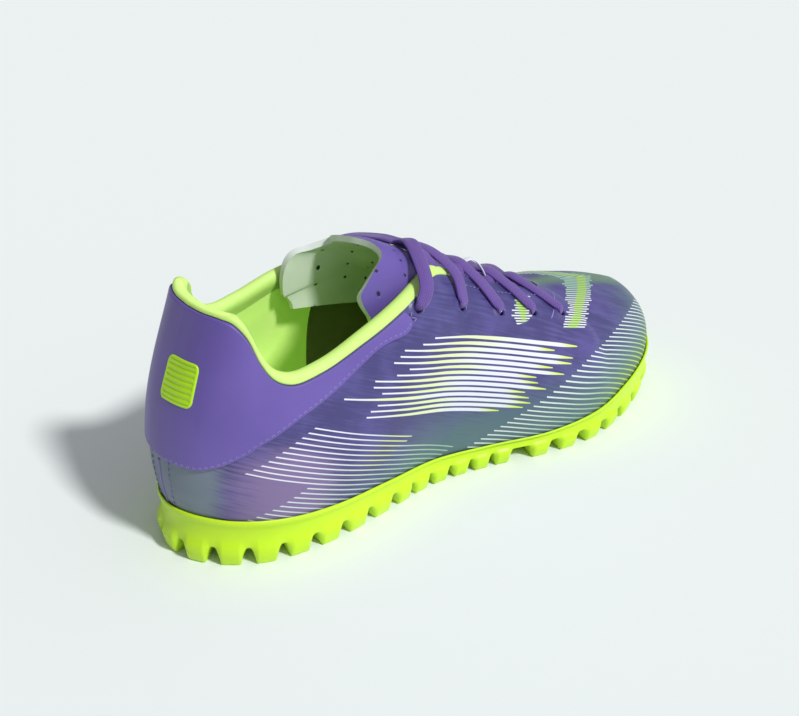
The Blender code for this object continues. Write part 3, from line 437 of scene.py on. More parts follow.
def solid_points(node):
    """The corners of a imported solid."""
    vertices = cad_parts[node].data.vertices
    points = np.zeros(len(vertices) * 3, np.float32)
    vertices.foreach_get("co", points)
    return points.reshape(-1, 3).astype(float)


SOLE_CORNERS = solid_points("outsole")
HEEL = SOLE_CORNERS[SOLE_CORNERS[:, 0].argmin()] * (1, 1, 0)


def spaced(zones, end):
    """Numbers from the first zone's start to the end, evenly spaced within each zone of (start, count)."""
    starts = [zone[0] for zone in zones] + [end]
    runs = [np.linspace(a, b, zone[1], endpoint=False) for a, b, zone in zip(starts[:-1], starts[1:], zones)]
    return np.append(np.concatenate(runs), end)


def quads(index):
    """The four corners of every cell in a grid of point numbers."""
    return np.stack([index[:-1, :-1], index[1:, :-1], index[1:, 1:], index[:-1, 1:]], -1).reshape(-1, 4)


def numbered(rows, columns, start=0):
    """A grid of point numbers."""
    return np.arange(rows * columns).reshape(rows, columns) + start


def unit(vectors):
    """Vectors at length 1."""
    return vectors / np.maximum(np.linalg.norm(vectors, axis=-1, keepdims=True), 1e-12)


def border(faces):
    """The edges that only one of the faces has, in that face's direction."""
    edges = np.stack([faces, np.roll(faces, -1, 1)], -1).reshape(-1, 2)
    _, place, count = np.unique(np.sort(edges, 1), axis=0, return_index=True, return_counts=True)
    return edges[place[count == 1]]


def shell(outer, inner, faces):
    """A closed wall between two sheets that have the same faces: both sheets and a strip along each border."""
    rim = border(faces)
    n = len(outer)
    strip = np.concatenate([rim[:, ::-1], rim + n], 1)
    return np.concatenate([outer, inner]), np.concatenate([faces, faces[:, ::-1] + n, strip])


def piece(name, points, faces, finish, replaces=(), maps=None, face_finish=None):
    """One piece of the shoe on the root body. maps: named pairs of numbers for each point, kept as UV maps.

    finish: its materials. face_finish: which of them each face has.
    """
    used = np.unique(faces)
    faces = np.searchsorted(used, faces)
    mesh = bpy.data.meshes.new(name)
    mesh.from_pydata((points[used] + HEEL).tolist(), [], faces.tolist())
    corner = np.zeros(len(mesh.loops), np.int32)
    mesh.loops.foreach_get("vertex_index", corner)
    for map_name, values in (maps or {}).items():
        layer = mesh.uv_layers.new(name=map_name)
        layer.data.foreach_set("uv", np.asarray(values, np.float32)[used][corner].ravel())
    for each in finish:
        mesh.materials.append(each)
    if face_finish is not None:
        mesh.polygons.foreach_set("material_index", np.asarray(face_finish, np.int32))
    work = bmesh.new()
    work.from_mesh(mesh)
    bmesh.ops.remove_doubles(work, verts=work.verts, dist=2e-6)
    bmesh.ops.recalc_face_normals(work, faces=work.faces)
    work.to_mesh(mesh)
    work.free()
    mesh.shade_smooth()
    obj = bpy.data.objects.new(name, mesh)
    bpy.context.scene.collection.objects.link(obj)
    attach(obj, "root")
    if replaces:
        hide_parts(*replaces)
    return obj


def sharpen(obj, degrees):
    """Keeps edges steeper than the angle crisp."""
    obj.data.set_sharp_from_angle(angle=math.radians(degrees))


def linear(code):
    """A colour from an sRGB hex value."""
    parts = np.array([int(code[k : k + 2], 16) for k in (1, 3, 5)]) / 255
    return (*np.where(parts <= 0.04045, parts / 12.92, ((parts + 0.055) / 1.055) ** 2.4), 1.0)


# Short names for the node types that the materials use. Any other kind is an operation of the Math node.
NODES = {
    "soft": ("MapRange", {"interpolation_type": "SMOOTHSTEP"}),
    "blend": ("Mix", {"data_type": "RGBA"}),
    "noise": ("TexNoise", {}),
    "random": ("TexWhiteNoise", {"noise_dimensions": "1D"}),
    "place": ("TexCoord", {}),
    "stretch": ("Mapping", {}),
    "map": ("UVMap", {}),
    "join": ("CombineXYZ", {}),
    "split": ("SeparateXYZ", {}),
    "bump": ("Bump", {}),
    "level": ("MapRange", {}),
    "facing": ("VectorMath", {"operation": "DOT_PRODUCT"}),
}


def add(tree, kind, *values, sockets=None, **settings):
    """Adds one node with its settings and links, and gives its first open output.

    values go to its open inputs in order and sockets by name. A value is a number, an sRGB colour or another
    node's output. soft: 0 where a value is at low or under, 1 at high or over. blend: a share, then two colours.
    """
    type_name, fixed = NODES.get(kind, ("Math", {"operation": kind}))
    node = tree.nodes.new(f"ShaderNode{type_name}")
    for setting, value in {**fixed, **settings}.items():
        setattr(node, setting, value)
    given = list(zip([socket for socket in node.inputs if socket.enabled], values))
    given += [(node.inputs[name], value) for name, value in (sockets or {}).items()]
    for socket, value in given:
        if isinstance(value, bpy.types.NodeSocket):
            tree.links.new(value, socket)
        else:
            socket.default_value = linear(value) if isinstance(value, str) else value
    return next(output for output in node.outputs if output.enabled)


def material(name, colour, roughness, **sockets):
    """A new material with its Principled shader set. Gives the material, its tree and the shader."""
    made = bpy.data.materials.new(name)
    made.use_nodes = True
    shader = made.node_tree.nodes["Principled BSDF"]
    shader.inputs["Base Color"].default_value = linear(colour)
    shader.inputs["Roughness"].default_value = roughness
    for socket, value in sockets.items():
        shader.inputs[socket.replace("_", " ")].default_value = value
    made.diffuse_color = linear(colour)
    return made, made.node_tree, shader


# The print, in millimetres of side view: x from the heel, z from the floor. Its lines run forward and down.
REAR_SLOPE, REAR_TOP, REAR_PITCH = 0.45, 78.2, 2.5
REAR_LEAN = 0.456  # slope of the line on which the rear lines end
REAR_START, REAR_END = -36.4, 39.5  # along that slope
REAR_SECOND, REAR_SET_BACK = 10.5, 24.0  # from this line number on, they start further forward
REAR_SHORT, REAR_CUT = 1.5, 30.3  # up to this line number, they end sooner
REAR_LINES = 19.5
FRONT_SLOPE, FRONT_TOP, FRONT_PITCH, TOE_PITCH = 0.32, 84.2, 2.5, 2.9
FRONT_LINES = (-11.5, 25.5)  # first and last line number
FRONT_START, FRONT_STEP = 166.6, 3.08  # where line 0 starts, and how much further on each next line does
FRONT_BENDS = ((0.0, 0.52), (10.0, 0.75))  # line numbers past which that step grows, and by how much
DART_SLOPE, DART_LOW, DART_PITCH, DARTS = 0.31, 75.0, 2.6, 14
DART_START, DART_END = (48.0, 3.5, 22.0), (158.0, 2.9, -24.0)  # first dart's, step to the next, random part
DASH_PITCH = 1.3
BLOCKS_PART = 185.0  # x between the blocks of dashes at the throat and at the toe
RIDGE_HEIGHTS = ((190, 69), (205, 64.5), (228, 60), (249, 54.6), (263, 51))  # x and z along the ridge
RIDGE_SIDE = ((205, 0.49), (224, 1.96), (263, 5.88))  # x and y along it


def print_maps(points, ribs, heights):
    """Where each point of the skin lies in the print, as UV maps that the skin's material reads.

    rear, front, darts: line number across, and millimetres along. dash: line number, and how far inside its
    block. band: distance from the lime band's middle, and distance from the ridge. tint: amounts of teal and of
    lilac. heel: amounts of blue-grey and of painted shade along the sole. edge: amounts of painted lime light
    thrown up from the sole at the toe's edge and of green on its ridge.
    """
    x, y, z = (points / MM).T
    lateral = np.arange(len(x)) < len(x) // 2
    out = np.where(lateral, -y, y - 2 * np.interp(x, *zip(*RIDGE_SIDE)))
    away = out + 0.9 * (np.interp(x, *zip(*RIDGE_HEIGHTS)) - z)
    high = z - np.where(lateral, *(rib_foot(side, ribs)[0][..., 2] for side in (LATERAL, MEDIAL))) / MM
    low = np.clip(1 - high / 36, 0, 1)
    wrap = 0.84 * (49 - out) * ease((x - 180) / 35)
    line = z + FRONT_SLOPE * x + wrap - FRONT_TOP
    toe = [x - 226 + 0.89 * away, 252 - 1.06 * away - x, 47.5 - away]
    throat_back = np.maximum(167 - 0.8 * (away - 16.5), 159)
    throat = [x - throat_back, 181.3 - 0.75 * (away - 17.5) - x, away - 15.5, 34.5 - away]
    block = np.where(x < BLOCKS_PART, np.minimum.reduce(throat), np.minimum.reduce(toe))
    throat_band = 1.2 + np.abs(x - 170 + 0.4 * (away - 20)) * 0.8 + (away - 24) * 0.15
    band = np.where(x < BLOCKS_PART, throat_band, np.abs(x - 243 + 1.09 * away))
    level = 0.5 * out - 0.88 * (z - 57) - 0.28 * (x - 243)
    over = ease((x - 190) / 16) * ease((9 - away) / 12)
    teal = low**0.9 * ease((x - 62) / 70) + 0.8 * over + 0.25 * low * ease((x - 30) / 30)
    lilac = np.exp(-(((x - 34) / 24) ** 2)) * ease((46 - high) / 26)
    maps = {
        "rear": ((REAR_TOP - z - REAR_SLOPE * x) / REAR_PITCH, REAR_LEAN * x - z),
        "front": (line / np.where(line > 0, TOE_PITCH, FRONT_PITCH), x),
        "darts": ((z + DART_SLOPE * x - DART_LOW) / DART_PITCH, x),
        "dash": (level / DASH_PITCH, block),
        "band": (band, away),
        "tint": (np.clip(teal, 0, 1), lilac),
        # heel's second number is painted shade along the sole, where the upper meets it.
        "heel": (ease((17 - x) / 13) * ease((44 - high) / 14), ease((3.0 - high) / 2.5) * ease((x - 25) / 30)),
        # edge's first number is painted lime light from the sole at the toe; its second is green print on the
        # ridge.
        "edge": (ease((20 - high) / 18) * ease((x - 185) / 55), over),
    }
    return {name: np.stack(two, -1) for name, two in maps.items()}


def pair(tree, name):
    """The two numbers of one of the piece's own UV maps."""
    split = add(tree, "split", add(tree, "map", uv_map=name)).node
    return split.outputs[0], split.outputs[1]


def stripe(tree, line, pitch, half):
    """1 on evenly spaced lines, half is half a line's width in millimetres."""
    off = add(tree, "ABSOLUTE", add(tree, "SUBTRACT", line, add(tree, "ROUND", line)))
    away = add(tree, "MULTIPLY", off, pitch)
    return add(tree, "soft", add(tree, "SUBTRACT", half, away), -0.10, 0.10)


def product(tree, *values):
    """Values multiplied together."""
    total = values[0]
    for value in values[1:]:
        total = add(tree, "MULTIPLY", total, value)
    return total


def relief(tree, shader, height, depth, strength=1.0):
    """Gives a shader a relief of so many millimetres from a height."""
    made = add(tree, "bump", sockets={"Height": height, "Distance": depth * MM, "Strength": strength})
    tree.links.new(made, shader.inputs["Normal"])


def shoe_place(tree, scale=(1, 1, 1)):
    """Object coordinates, stretched along each axis, in features per metre."""
    place = add(tree, "place").node.outputs["Object"]
    return add(tree, "stretch", place, sockets={"Scale": scale})


def ground_colour(tree, soft, uneven):
    """Violet-blue that fades to teal low down, green on the ridge, and lilac and blue-grey at the heel, with
    painted shade along the sole and painted lime light from the sole low at the toe.
    """
    step = partial(add, tree)
    teal, lilac = pair(tree, "tint")
    back, sole_shade_painted = pair(tree, "heel")
    edge, ridge = pair(tree, "edge")
    colour = step("blend", step("soft", step("ADD", soft, uneven), 0.3, 0.75), "#3C3672", "#534B8E")
    for share, tint in (
        (step("soft", step("ADD", teal, uneven), 0.02, 0.9), "#4E6B74"),
        (step("MULTIPLY", ridge, 0.8), "#6A8A6E"),
        (step("MULTIPLY", step("soft", step("ADD", lilac, uneven), 0.15, 0.9), 0.85), "#84709C"),
        (step("soft", step("ADD", back, uneven), 0.1, 0.9), "#6F7C8A"),
        # Painted light: olive green low at the toe stands for light thrown up from the lime sole.
        (step("MULTIPLY", edge, 0.8), "#4C6A3E"),
        # Painted shade: darker along the sole's edge, where the upper meets it.
        (step("MULTIPLY", sole_shade_painted, 0.45), "#3C3F5C"),
    ):
        colour = step("blend", share, colour, tint)
    return colour


def rear_lines(tree, colour):
    """Pale lines on the rear quarter, their ends on a slant, warm in their middle."""
    step = partial(add, tree)
    line, along = pair(tree, "rear")
    number = step("ROUND", line)
    start = step("MULTIPLY_ADD", step("GREATER_THAN", number, REAR_SECOND), REAR_SET_BACK, REAR_START)
    end = step("MULTIPLY_ADD", step("LESS_THAN", number, REAR_SHORT), -REAR_CUT, REAR_END)
    drawn = product(
        tree, stripe(tree, line, REAR_PITCH * 0.91, 0.28),
        step("GREATER_THAN", along, start), step("LESS_THAN", along, end),
        step("GREATER_THAN", line, -0.5), step("LESS_THAN", line, REAR_LINES),
    )
    glow = product(
        tree, step("soft", along, -10.0, 2.0), step("soft", step("MULTIPLY", along, -1.0), -12.0, -4.0),
        step("soft", step("MULTIPLY", line, -1.0), -12.0, -1.0),
    )
    pale = step("blend", step("soft", along, -30.0, 34.0), "#E2E4EE", "#9CBFA8")
    return step("blend", drawn, colour, step("blend", step("MULTIPLY", glow, 0.8), pale, "#DDEB6A"))


def front_lines(tree, colour):
    """Pale lines that fan out round the toe, green towards the sole, and lime low at the toe from painted light
    thrown up by the sole.
    """
    step = partial(add, tree)
    line, along = pair(tree, "front")
    edge = pair(tree, "edge")[0]
    number = step("ROUND", line)
    start = step("MULTIPLY_ADD", number, FRONT_STEP, FRONT_START)
    for bend, more in FRONT_BENDS:
        start = step("MULTIPLY_ADD", step("MAXIMUM", step("SUBTRACT", number, bend), 0.0), more, start)
    drawn = product(
        tree, stripe(tree, line, FRONT_PITCH, 0.34), step("GREATER_THAN", along, start),
        step("GREATER_THAN", line, FRONT_LINES[0]), step("LESS_THAN", line, FRONT_LINES[1]),
    )
    pale = step("blend", step("soft", step("SUBTRACT", along, start), 0.0, 42.0), "#DCE6E4", "#90B694")
    # Painted light: lines low at the toe turn lime as if lit from the lime sole.
    return step("blend", drawn, colour, step("blend", step("soft", edge, 0.0, 0.7), pale, "#A6CE62"))


def darts_over(tree, colour):
    """Many slim darts along the side, thin behind and thicker in front, both their ends staggered at random."""
    step = partial(add, tree)
    line, along = pair(tree, "darts")
    number = step("FLOOR", line)
    early, late = (step("random", step("ADD", number, seed)) for seed in (0.37, 40.7))
    start, end = (
        step("MULTIPLY_ADD", random, loose, step("MULTIPLY_ADD", number, shift, first))
        for random, (first, shift, loose) in ((early, DART_START), (late, DART_END))
    )
    past, left = step("SUBTRACT", along, start), step("SUBTRACT", end, along)
    half = step("MULTIPLY_ADD", step("soft", past, 0.0, 46.0), 0.19, 0.13)
    half = step("MULTIPLY", half, step("soft", left, -6.0, 12.0))
    away = step("ABSOLUTE", step("SUBTRACT", step("SUBTRACT", line, number), 0.5))
    drawn = product(
        tree, step("soft", step("SUBTRACT", half, away), -0.04, 0.04),
        step("soft", past, -0.1, 0.1), step("soft", left, -0.1, 0.1),
        step("GREATER_THAN", line, 0.0), step("LESS_THAN", line, float(DARTS)),
    )
    warm = product(tree, step("soft", past, 4.0, 22.0), step("soft", step("MULTIPLY", past, -1.0), -58.0, -28.0))
    pale = step("blend", step("MULTIPLY", warm, 0.75), "#E2E5F0", "#DDEE96")
    pale = step("blend", step("soft", step("MULTIPLY", left, -1.0), -13.0, -2.0), pale, "#D8EE58")
    return step("blend", drawn, colour, pale)


def dash_blocks(tree, colour):
    """Blocks of short pale dashes with ragged ends at the throat and over the toe, a lime band through each."""
    step = partial(add, tree)
    line, inside = pair(tree, "dash")
    middle, away = pair(tree, "band")
    ragged = step("MULTIPLY", step("random", step("ROUND", line)), 3.0)
    inside = step("SUBTRACT", inside, ragged)
    block = step("soft", inside, -0.15, 0.15)
    band = step("soft", step("MULTIPLY", middle, -1.0), -4.3, -3.0)
    lime = step("MULTIPLY", band, step("soft", inside, -1.0, 1.5))
    fill = step("blend", step("soft", away, 4.0, 22.0), "#7CA084", "#433F78")
    colour = step("blend", step("MULTIPLY", block, 0.7), colour, fill)
    colour = step("blend", step("MULTIPLY", lime, 0.9), colour, "#7FAE3C")
    dashes = step("MULTIPLY", stripe(tree, line, DASH_PITCH, 0.30), block)
    pale = step("blend", step("soft", away, 4.0, 30.0), "#9CC6B4", "#E6EEE6")
    return step("blend", dashes, colour, step("blend", step("MULTIPLY", lime, 0.8), pale, "#B9DC6A"))


def printed_skin():
    """Thin coated polyester: satin, faintly ribbed along the shoe, with its print under the coat.

    It gives the eye a dark violet-blue ground that fades to teal at the sole, and crisp pale lines.
    """
    made, tree, shader = material("coated_polyester_skin", "#4C4487", 0.42, IOR=1.48)
    step = partial(add, tree)
    shader.inputs["Coat Weight"].default_value = 0.25
    shader.inputs["Coat Roughness"].default_value = 0.28
    streak = step("noise", shoe_place(tree, (14, 60, 260)), 1.0, 4.0, 0.55)
    soft = step("noise", shoe_place(tree), 60.0, 2.0, 0.55)
    across, run = pair(tree, "rear")
    brushed = step("join", step("MULTIPLY", across, 2.2), step("MULTIPLY", run, 0.05))
    uneven = step("SUBTRACT", step("noise", brushed, 1.0, 4.0, 0.65), 0.5)
    colour = ground_colour(tree, soft, uneven)
    for layer in (rear_lines, front_lines, darts_over, dash_blocks):
        colour = layer(tree, colour)
    tree.links.new(colour, shader.inputs["Base Color"])
    fine = step("noise", shoe_place(tree, (300, 900, 2400)), 1.0, 2.0, 0.55)
    relief(tree, shader, step("MULTIPLY_ADD", streak, 2.0, fine), 0.05, 0.6)
    tree.links.new(step("soft", step("ADD", soft, uneven), -0.9, 1.6), shader.inputs["Roughness"])
    return made


def grained(name, colour, shade, roughness, grain, depth, spread=26.0):
    """A plain coated or cloth surface: two close shades in soft clouds, and a grain of so many millimetres."""
    made, tree, shader = material(name, colour, roughness)
    clouds = add(tree, "noise", shoe_place(tree), spread, 3.0, 0.55)
    cloudy = add(tree, "blend", add(tree, "soft", clouds, 0.30, 0.70), colour, shade)
    tree.links.new(cloudy, shader.inputs["Base Color"])
    fine = add(tree, "noise", shoe_place(tree), 1.0 / (grain * MM), 2.0, 0.55)
    relief(tree, shader, fine, depth, 0.7)
    return made, tree, shader


def perforated(name, colour, shade, roughness, grain, depth):
    """The same with small round holes pricked through it, 1.1 mm wide and 7 by 11 mm apart, each painted
    near-black as the shade inside it.
    """
    made, tree, shader = grained(name, colour, shade, roughness, grain, depth)
    along, across = pair(tree, "place")
    parts = []
    for value, pitch in ((along, 11.0), (across, 7.0)):
        step = add(tree, "DIVIDE", value, pitch)
        off = add(tree, "MULTIPLY", add(tree, "SUBTRACT", step, add(tree, "ROUND", step)), pitch)
        parts.append(add(tree, "MULTIPLY", off, off))
    away = add(tree, "SQRT", add(tree, "ADD", parts[0], parts[1]))
    cloth = shader.inputs["Base Color"].links[0].from_socket
    # Painted shade: each hole is a near-black dot standing for the shade inside it, with a bump round it.
    pricked = add(tree, "blend", add(tree, "soft", away, 0.42, 0.66), "#1E1C26", cloth)
    tree.links.new(pricked, shader.inputs["Base Color"])
    relief(tree, shader, add(tree, "soft", away, 0.35, 0.9), 0.5, 0.9)
    return made


def panel_leather():
    """Smooth polyurethane on cloth: a fine even grain and a soft broad sheen, in purple."""
    made, tree, shader = grained("smooth_polyurethane_panel", "#6A57A8", "#6350A0", 0.50, 0.55, 0.05)
    shader.inputs["Sheen Weight"].default_value = 0.15
    shader.inputs["Sheen Roughness"].default_value = 0.4
    return made


def knit_lining():
    """Lime polyester knit: rows of small loops, matt and a little fluffy, with a painted glow (emission) that
    lightens it in light and shade alike.
    """
    made, tree, shader = grained("knitted_polyester_lining", "#E6FF98", "#DAFC84", 0.85, 0.9, 0.10)
    shader.inputs["Sheen Weight"].default_value = 0.3
    # Painted glow: an emission that lightens the lime lining everywhere, lit or shaded.
    shader.inputs["Emission Color"].default_value = linear("#A8FF4A")
    shader.inputs["Emission Strength"].default_value = 0.13
    return made


def sole_rubber():
    """Moulded rubber in fluorescent lime: satin, faintly cloudy, and soft where light goes into it."""
    made, tree, shader = grained("moulded_rubber_lime", "#CAF124", "#C1EA1A", 0.40, 0.7, 0.03, 18.0)
    shader.inputs["Subsurface Weight"].default_value = 0.12
    shader.inputs["Subsurface Radius"].default_value = (0.004, 0.006, 0.001)
    shader.inputs["Subsurface Scale"].default_value = 0.5
    return made


def woven_lace():
    """Flat polyester braid: slanting yarns that meet in a herringbone down the middle, drawn 0.9 mm wide,
    with painted shade in the dips between yarns and painted light on their crests.
    """
    made, tree, shader = material("braided_polyester_lace", "#6C4DA4", 0.78)
    along, across = pair(tree, "weave")
    slant = add(tree, "MULTIPLY_ADD", add(tree, "ABSOLUTE", across), 1.1, along)
    wave = add(tree, "SINE", add(tree, "MULTIPLY", slant, 2 * math.pi / 0.9))
    cross = add(tree, "SINE", add(tree, "MULTIPLY", across, 2 * math.pi / 0.8))
    yarn = add(tree, "MULTIPLY_ADD", cross, 0.5, wave)
    clouds = add(tree, "noise", shoe_place(tree), 240.0, 2.0, 0.55)
    # Painted shade and light: darker in the weave's dips, lighter on its crests, from the same yarn height as the
    # relief.
    shade = add(tree, "blend", add(tree, "soft", yarn, -1.3, 0.9), "#4B347C", "#7656AE")
    cloudy = add(tree, "blend", add(tree, "soft", clouds, 0.2, 0.8), shade, "#6A4BA2")
    tree.links.new(cloudy, shader.inputs["Base Color"])
    relief(tree, shader, yarn, 0.12, 0.8)
    shader.inputs["Sheen Weight"].default_value = 0.25
    return made


def joined(halves):
    """Two halves of a sheet, each a grid, set end to end where they share their first or last row."""
    return np.concatenate([halves[0], halves[1][1:]])


def walled(outer, inner):
    """A closed wall between two grids of one size: its points and faces."""
    return shell(outer.reshape(-1, 3), inner.reshape(-1, 3), quads(numbered(*outer.shape[:2])))


def rib_length(side, at):
    """How long a rib is, from its foot at the sole to its top."""
    return np.linalg.norm(rib_top(side, at) - rib_foot(side, at)[0], axis=-1)


def punch(points, normals, faces, holes, radius):
    """Opens round holes in a sheet: cells inside go, and points left on a hole's border move onto its circle."""
    keep = np.ones(len(faces), bool)
    for centre, normal in holes:
        away = points - centre
        away -= (away @ normal)[:, None] * normal
        near = np.linalg.norm(points - centre, axis=1) < 4 * radius
        reach = np.linalg.norm(away, axis=1)
        inside = near[faces].all(1) & (np.linalg.norm(away[faces].mean(1), axis=1) < radius)
        edge = np.intersect1d(faces[inside], faces[~inside])
        points[edge] += away[edge] * (radius / reach[edge] - 1)[:, None]
        keep &= ~inside
    return faces[keep]


RIM_STEPS = 9  # points across the rolled rim


def build_skin(finish):
    """The upper: outer skin, lime lining and rolled rim as one wall, with its lace holes punched.

    The outer surface is upper_point over ribs and heights. The lining is that surface moved in by wall_at, and the
    rim is half an ellipse between the two.
    """
    at, rise = spaced(SKIN_COLUMNS, 1.0), spaced(SKIN_ROWS, 1.0)
    throat = int(np.argmin(np.abs(at - THROAT_END)))
    n, m = len(at), len(rise)
    at, rise = np.meshgrid(at, rise, indexing="ij")
    spots = [on_skin(side, at, rise, 0.0) for side in (LATERAL, MEDIAL)]
    points, normals = (np.concatenate([spot[k].reshape(-1, 3) for spot in spots]) for k in range(2))
    ribs, heights = np.tile(at.ravel(), 2), np.tile(rise.ravel(), 2)
    index, other = numbered(n, m), numbered(n, m, n * m)
    other[0], other[-1] = index[0], index[-1]
    other[throat:, -1] = index[throat:, -1]
    faces = np.concatenate([quads(index)[:, ::-1], quads(other)])
    ridge = (heights > 0.9999) & (ribs >= THROAT_END)
    upright = normals[ridge].copy()
    upright[:, 1] = 0
    normals[ridge] = unit(upright)
    normals[heights < 1e-6, 2] = 0
    normals = unit(normals)
    holes = [eyelet(side, row) for side in (LATERAL, MEDIAL) for row in range(len(EYELETS))]
    faces = punch(points, normals, faces, holes, EYELET_RADIUS)
    for centre, normal in holes:
        reach = np.linalg.norm(points - centre, axis=1)
        points += normals * (EYELET_RING * np.exp(-(((reach - EYELET_RADIUS * 1.55) / 0.0009) ** 2)))[:, None]
    inner = points - normals * wall_at(ribs, heights)[:, None]
    sheet, closed = shell(points, inner, faces)
    count = len(points)
    rim = np.concatenate([index[: throat + 1, -1][::-1], other[1 : throat + 1, -1]])
    closed = closed[~np.isin(closed % count, rim).all(1)]
    turn = np.linspace(0, math.pi, RIM_STEPS)[None, :, None]
    a, b = points[rim][:, None], inner[rim][:, None]
    crown = RIM_CROWN * (0.45 + 0.95 * ease((0.50 - ribs[rim]) / 0.10))[:, None, None]
    arch = (a + b) / 2 + (a - b) / 2 * np.cos(turn) + np.array([0, 0, 1.0]) * crown * np.sin(turn)
    everything = np.concatenate([sheet, arch.reshape(-1, 3)])
    all_faces = np.concatenate([closed, quads(numbered(len(rim), RIM_STEPS, len(sheet)))])
    back = np.minimum(ribs[rim][:-1], ribs[rim][1:]) < BINDING_END
    inward = (closed >= count).all(1).astype(int)
    # Lining faces in front of FRONT_LINING take the darker front lining, partly its own colour and partly painted
    # shade.
    inward += inward * (ribs[closed % count].mean(1) > FRONT_LINING)
    kind = np.concatenate([inward, np.repeat(back.astype(int), RIM_STEPS - 1)])
    maps = print_maps(points, ribs, heights)
    for name, pairs in maps.items():
        maps[name] = np.concatenate([pairs, pairs, np.repeat(pairs[rim], RIM_STEPS, 0)])
    return piece(
        "upper_skin", everything, all_faces, finish, ["upper"], maps=maps, face_finish=kind,
    )


def binding_size(at):
    """How far the collar's binding comes down outside and how far it stands over the rim, in metres."""
    knots = column(BINDING, "at")
    return smooth(knots, column(BINDING, "down"), at) * MM, smooth(knots, column(BINDING, "up"), at) * MM


def build_binding(finish):
    """The padded lime binding of the collar: down the outside, over the rim and down the lining, as one roll.

    Its section is half an ellipse over the rim, drawn out along the wall's two faces, and each end dies away.
    """
    at = spaced(((0.0, 100), (0.33, 40)), BINDING_END)
    arc = np.linspace(0, math.pi, 15)[None, :, None]
    over, under = [], []
    for side in (LATERAL, MEDIAL):
        down, up = binding_size(at)
        dying = (1 - ease((at - BINDING_END + 0.010) / 0.010))[:, None, None]
        tall = rib_length(side, at)
        edge, below = upper_point(side, at, np.ones_like(at)), upper_point(side, at, np.full_like(at, 0.97))
        normal = upper_normal(side, at, np.full_like(at, 0.985))[:, None]
        rib_up = unit(edge - below)[:, None]
        wall = wall_at(at, np.ones_like(at))[:, None, None]
        half = wall / 2 + BINDING_BULGE * dying * (0.5 + 0.5 * ease((at - 0.08) / 0.05))[:, None, None]
        crest = edge[:, None] - normal * wall / 2 + normal * half * np.cos(arc)
        crest = crest + rib_up * np.sin(arc) * (up[:, None, None] * dying + 0.0012)
        deep = np.linspace(1, 0.12, 6)[None, :]
        fall = np.sqrt(1 - np.linspace(1, 0.12, 6) ** 3)[None, :, None]
        spread = np.repeat(at[:, None], 6, 1)
        outside = upper_point(side, spread, 1 - deep * (down / tall)[:, None])
        outside = outside + normal * (half - wall / 2) * (fall * 1.1 - 0.1)
        rise_in = (1 - deep * (BINDING_INSIDE / tall)[:, None])[:, ::-1]
        normal_in = upper_normal(side, spread, rise_in)
        wall_in = wall_at(spread, rise_in)[..., None]
        inside = upper_point(side, spread, rise_in)
        merge = ease(1 - deep)[..., None][:, ::-1]
        inside = inside - normal_in * (wall_in + (half - wall / 2) * (merge * 1.15 - 0.15))
        sheet = np.concatenate([outside, crest, inside], 1)
        crest_in = crest - rib_up * 0.0010 * np.sin(arc) - normal * 0.0006 * np.cos(arc)
        lining = np.concatenate([outside - normal * 0.0006, crest_in, inside + normal * 0.0006], 1)
        over.append(sheet[:: int(side)])
        under.append(lining[:: int(side)])
    points, faces = walled(joined(over), joined(under))
    return piece("collar_binding", points, faces, finish)


def panel_edges(side, share):
    """The heel panel's lower and upper edges, from the back (0) to its rounded front (1), as rib and rise."""
    knots = np.linspace(0, 1, len(PANEL_PATH))
    at, low = smooth(knots, column(PANEL_PATH, "at"), share), smooth(knots, column(PANEL_PATH, "rise"), share)
    top_at = np.minimum(share * 1.06, 1) * PANEL_PATH[-1].at
    return at, low, top_at, 1 - (binding_size(top_at)[0] + GAP) / rib_length(side, top_at)


def build_panel(finish):
    """The smooth panel sewn round the heel: the upper's surface from the seam to the binding, lifted off it.

    The lift is full inside and rounds down to the skin over the last millimetre of each edge.
    """
    share = np.linspace(0, 1, 190)
    up = (1 - np.cos(np.linspace(0, math.pi, 46))) / 2
    outer, inner = [], []
    for side in (LATERAL, MEDIAL):
        at, low, top_at, high = panel_edges(side, share)
        across = at[:, None] + (top_at - at)[:, None] * up
        rise = low[:, None] + (high - low)[:, None] * up
        base = upper_point(side, across, rise)
        normal = upper_normal(side, across, rise)
        from_low = np.linalg.norm(base - base[:, :1], axis=-1)
        from_high = np.linalg.norm(base - base[:, -1:], axis=-1)
        deep = np.minimum(from_low, from_high)
        lift = PANEL_WALL * (0.15 + 0.95 * np.sqrt(1 - (1 - np.clip(deep / 0.0013, 0, 1)) ** 2))
        outer.append((base + normal * (GAP + lift[..., None]))[:: int(side)])
        inner.append((base - normal * GAP)[:: int(side)])
    points, faces = walled(joined(outer), joined(inner))
    return piece("heel_panel_skin", points, faces, finish, ["heel_panel"])


def on_skin(side, at, rise, lift):
    """Points of the upper's surface lifted off it, and its normals there."""
    normal = upper_normal(side, at, np.clip(rise, 0, 0.999))
    return upper_point(side, at, rise) + normal * lift, normal


def along_path(side, at, rise, pitch, lift):
    """Evenly spaced points along a line of (rib, rise) on the skin, with normals, and the direction across it."""
    fine = np.linspace(0, 1, 1200)
    knots = np.linspace(0, 1, len(at))
    rib, high = smooth(knots, np.array(at), fine), smooth(knots, np.array(rise), fine)
    points, normals = on_skin(side, rib, high, lift)
    far = lengths(points)
    here = np.arange(0, far[-1], pitch)
    points = np.stack([np.interp(here, far, points[:, k]) for k in range(3)], -1)
    normals = unit(np.stack([np.interp(here, far, normals[:, k]) for k in range(3)], -1))
    across = unit(np.cross(np.gradient(points, axis=0), normals))
    return points, normals, across


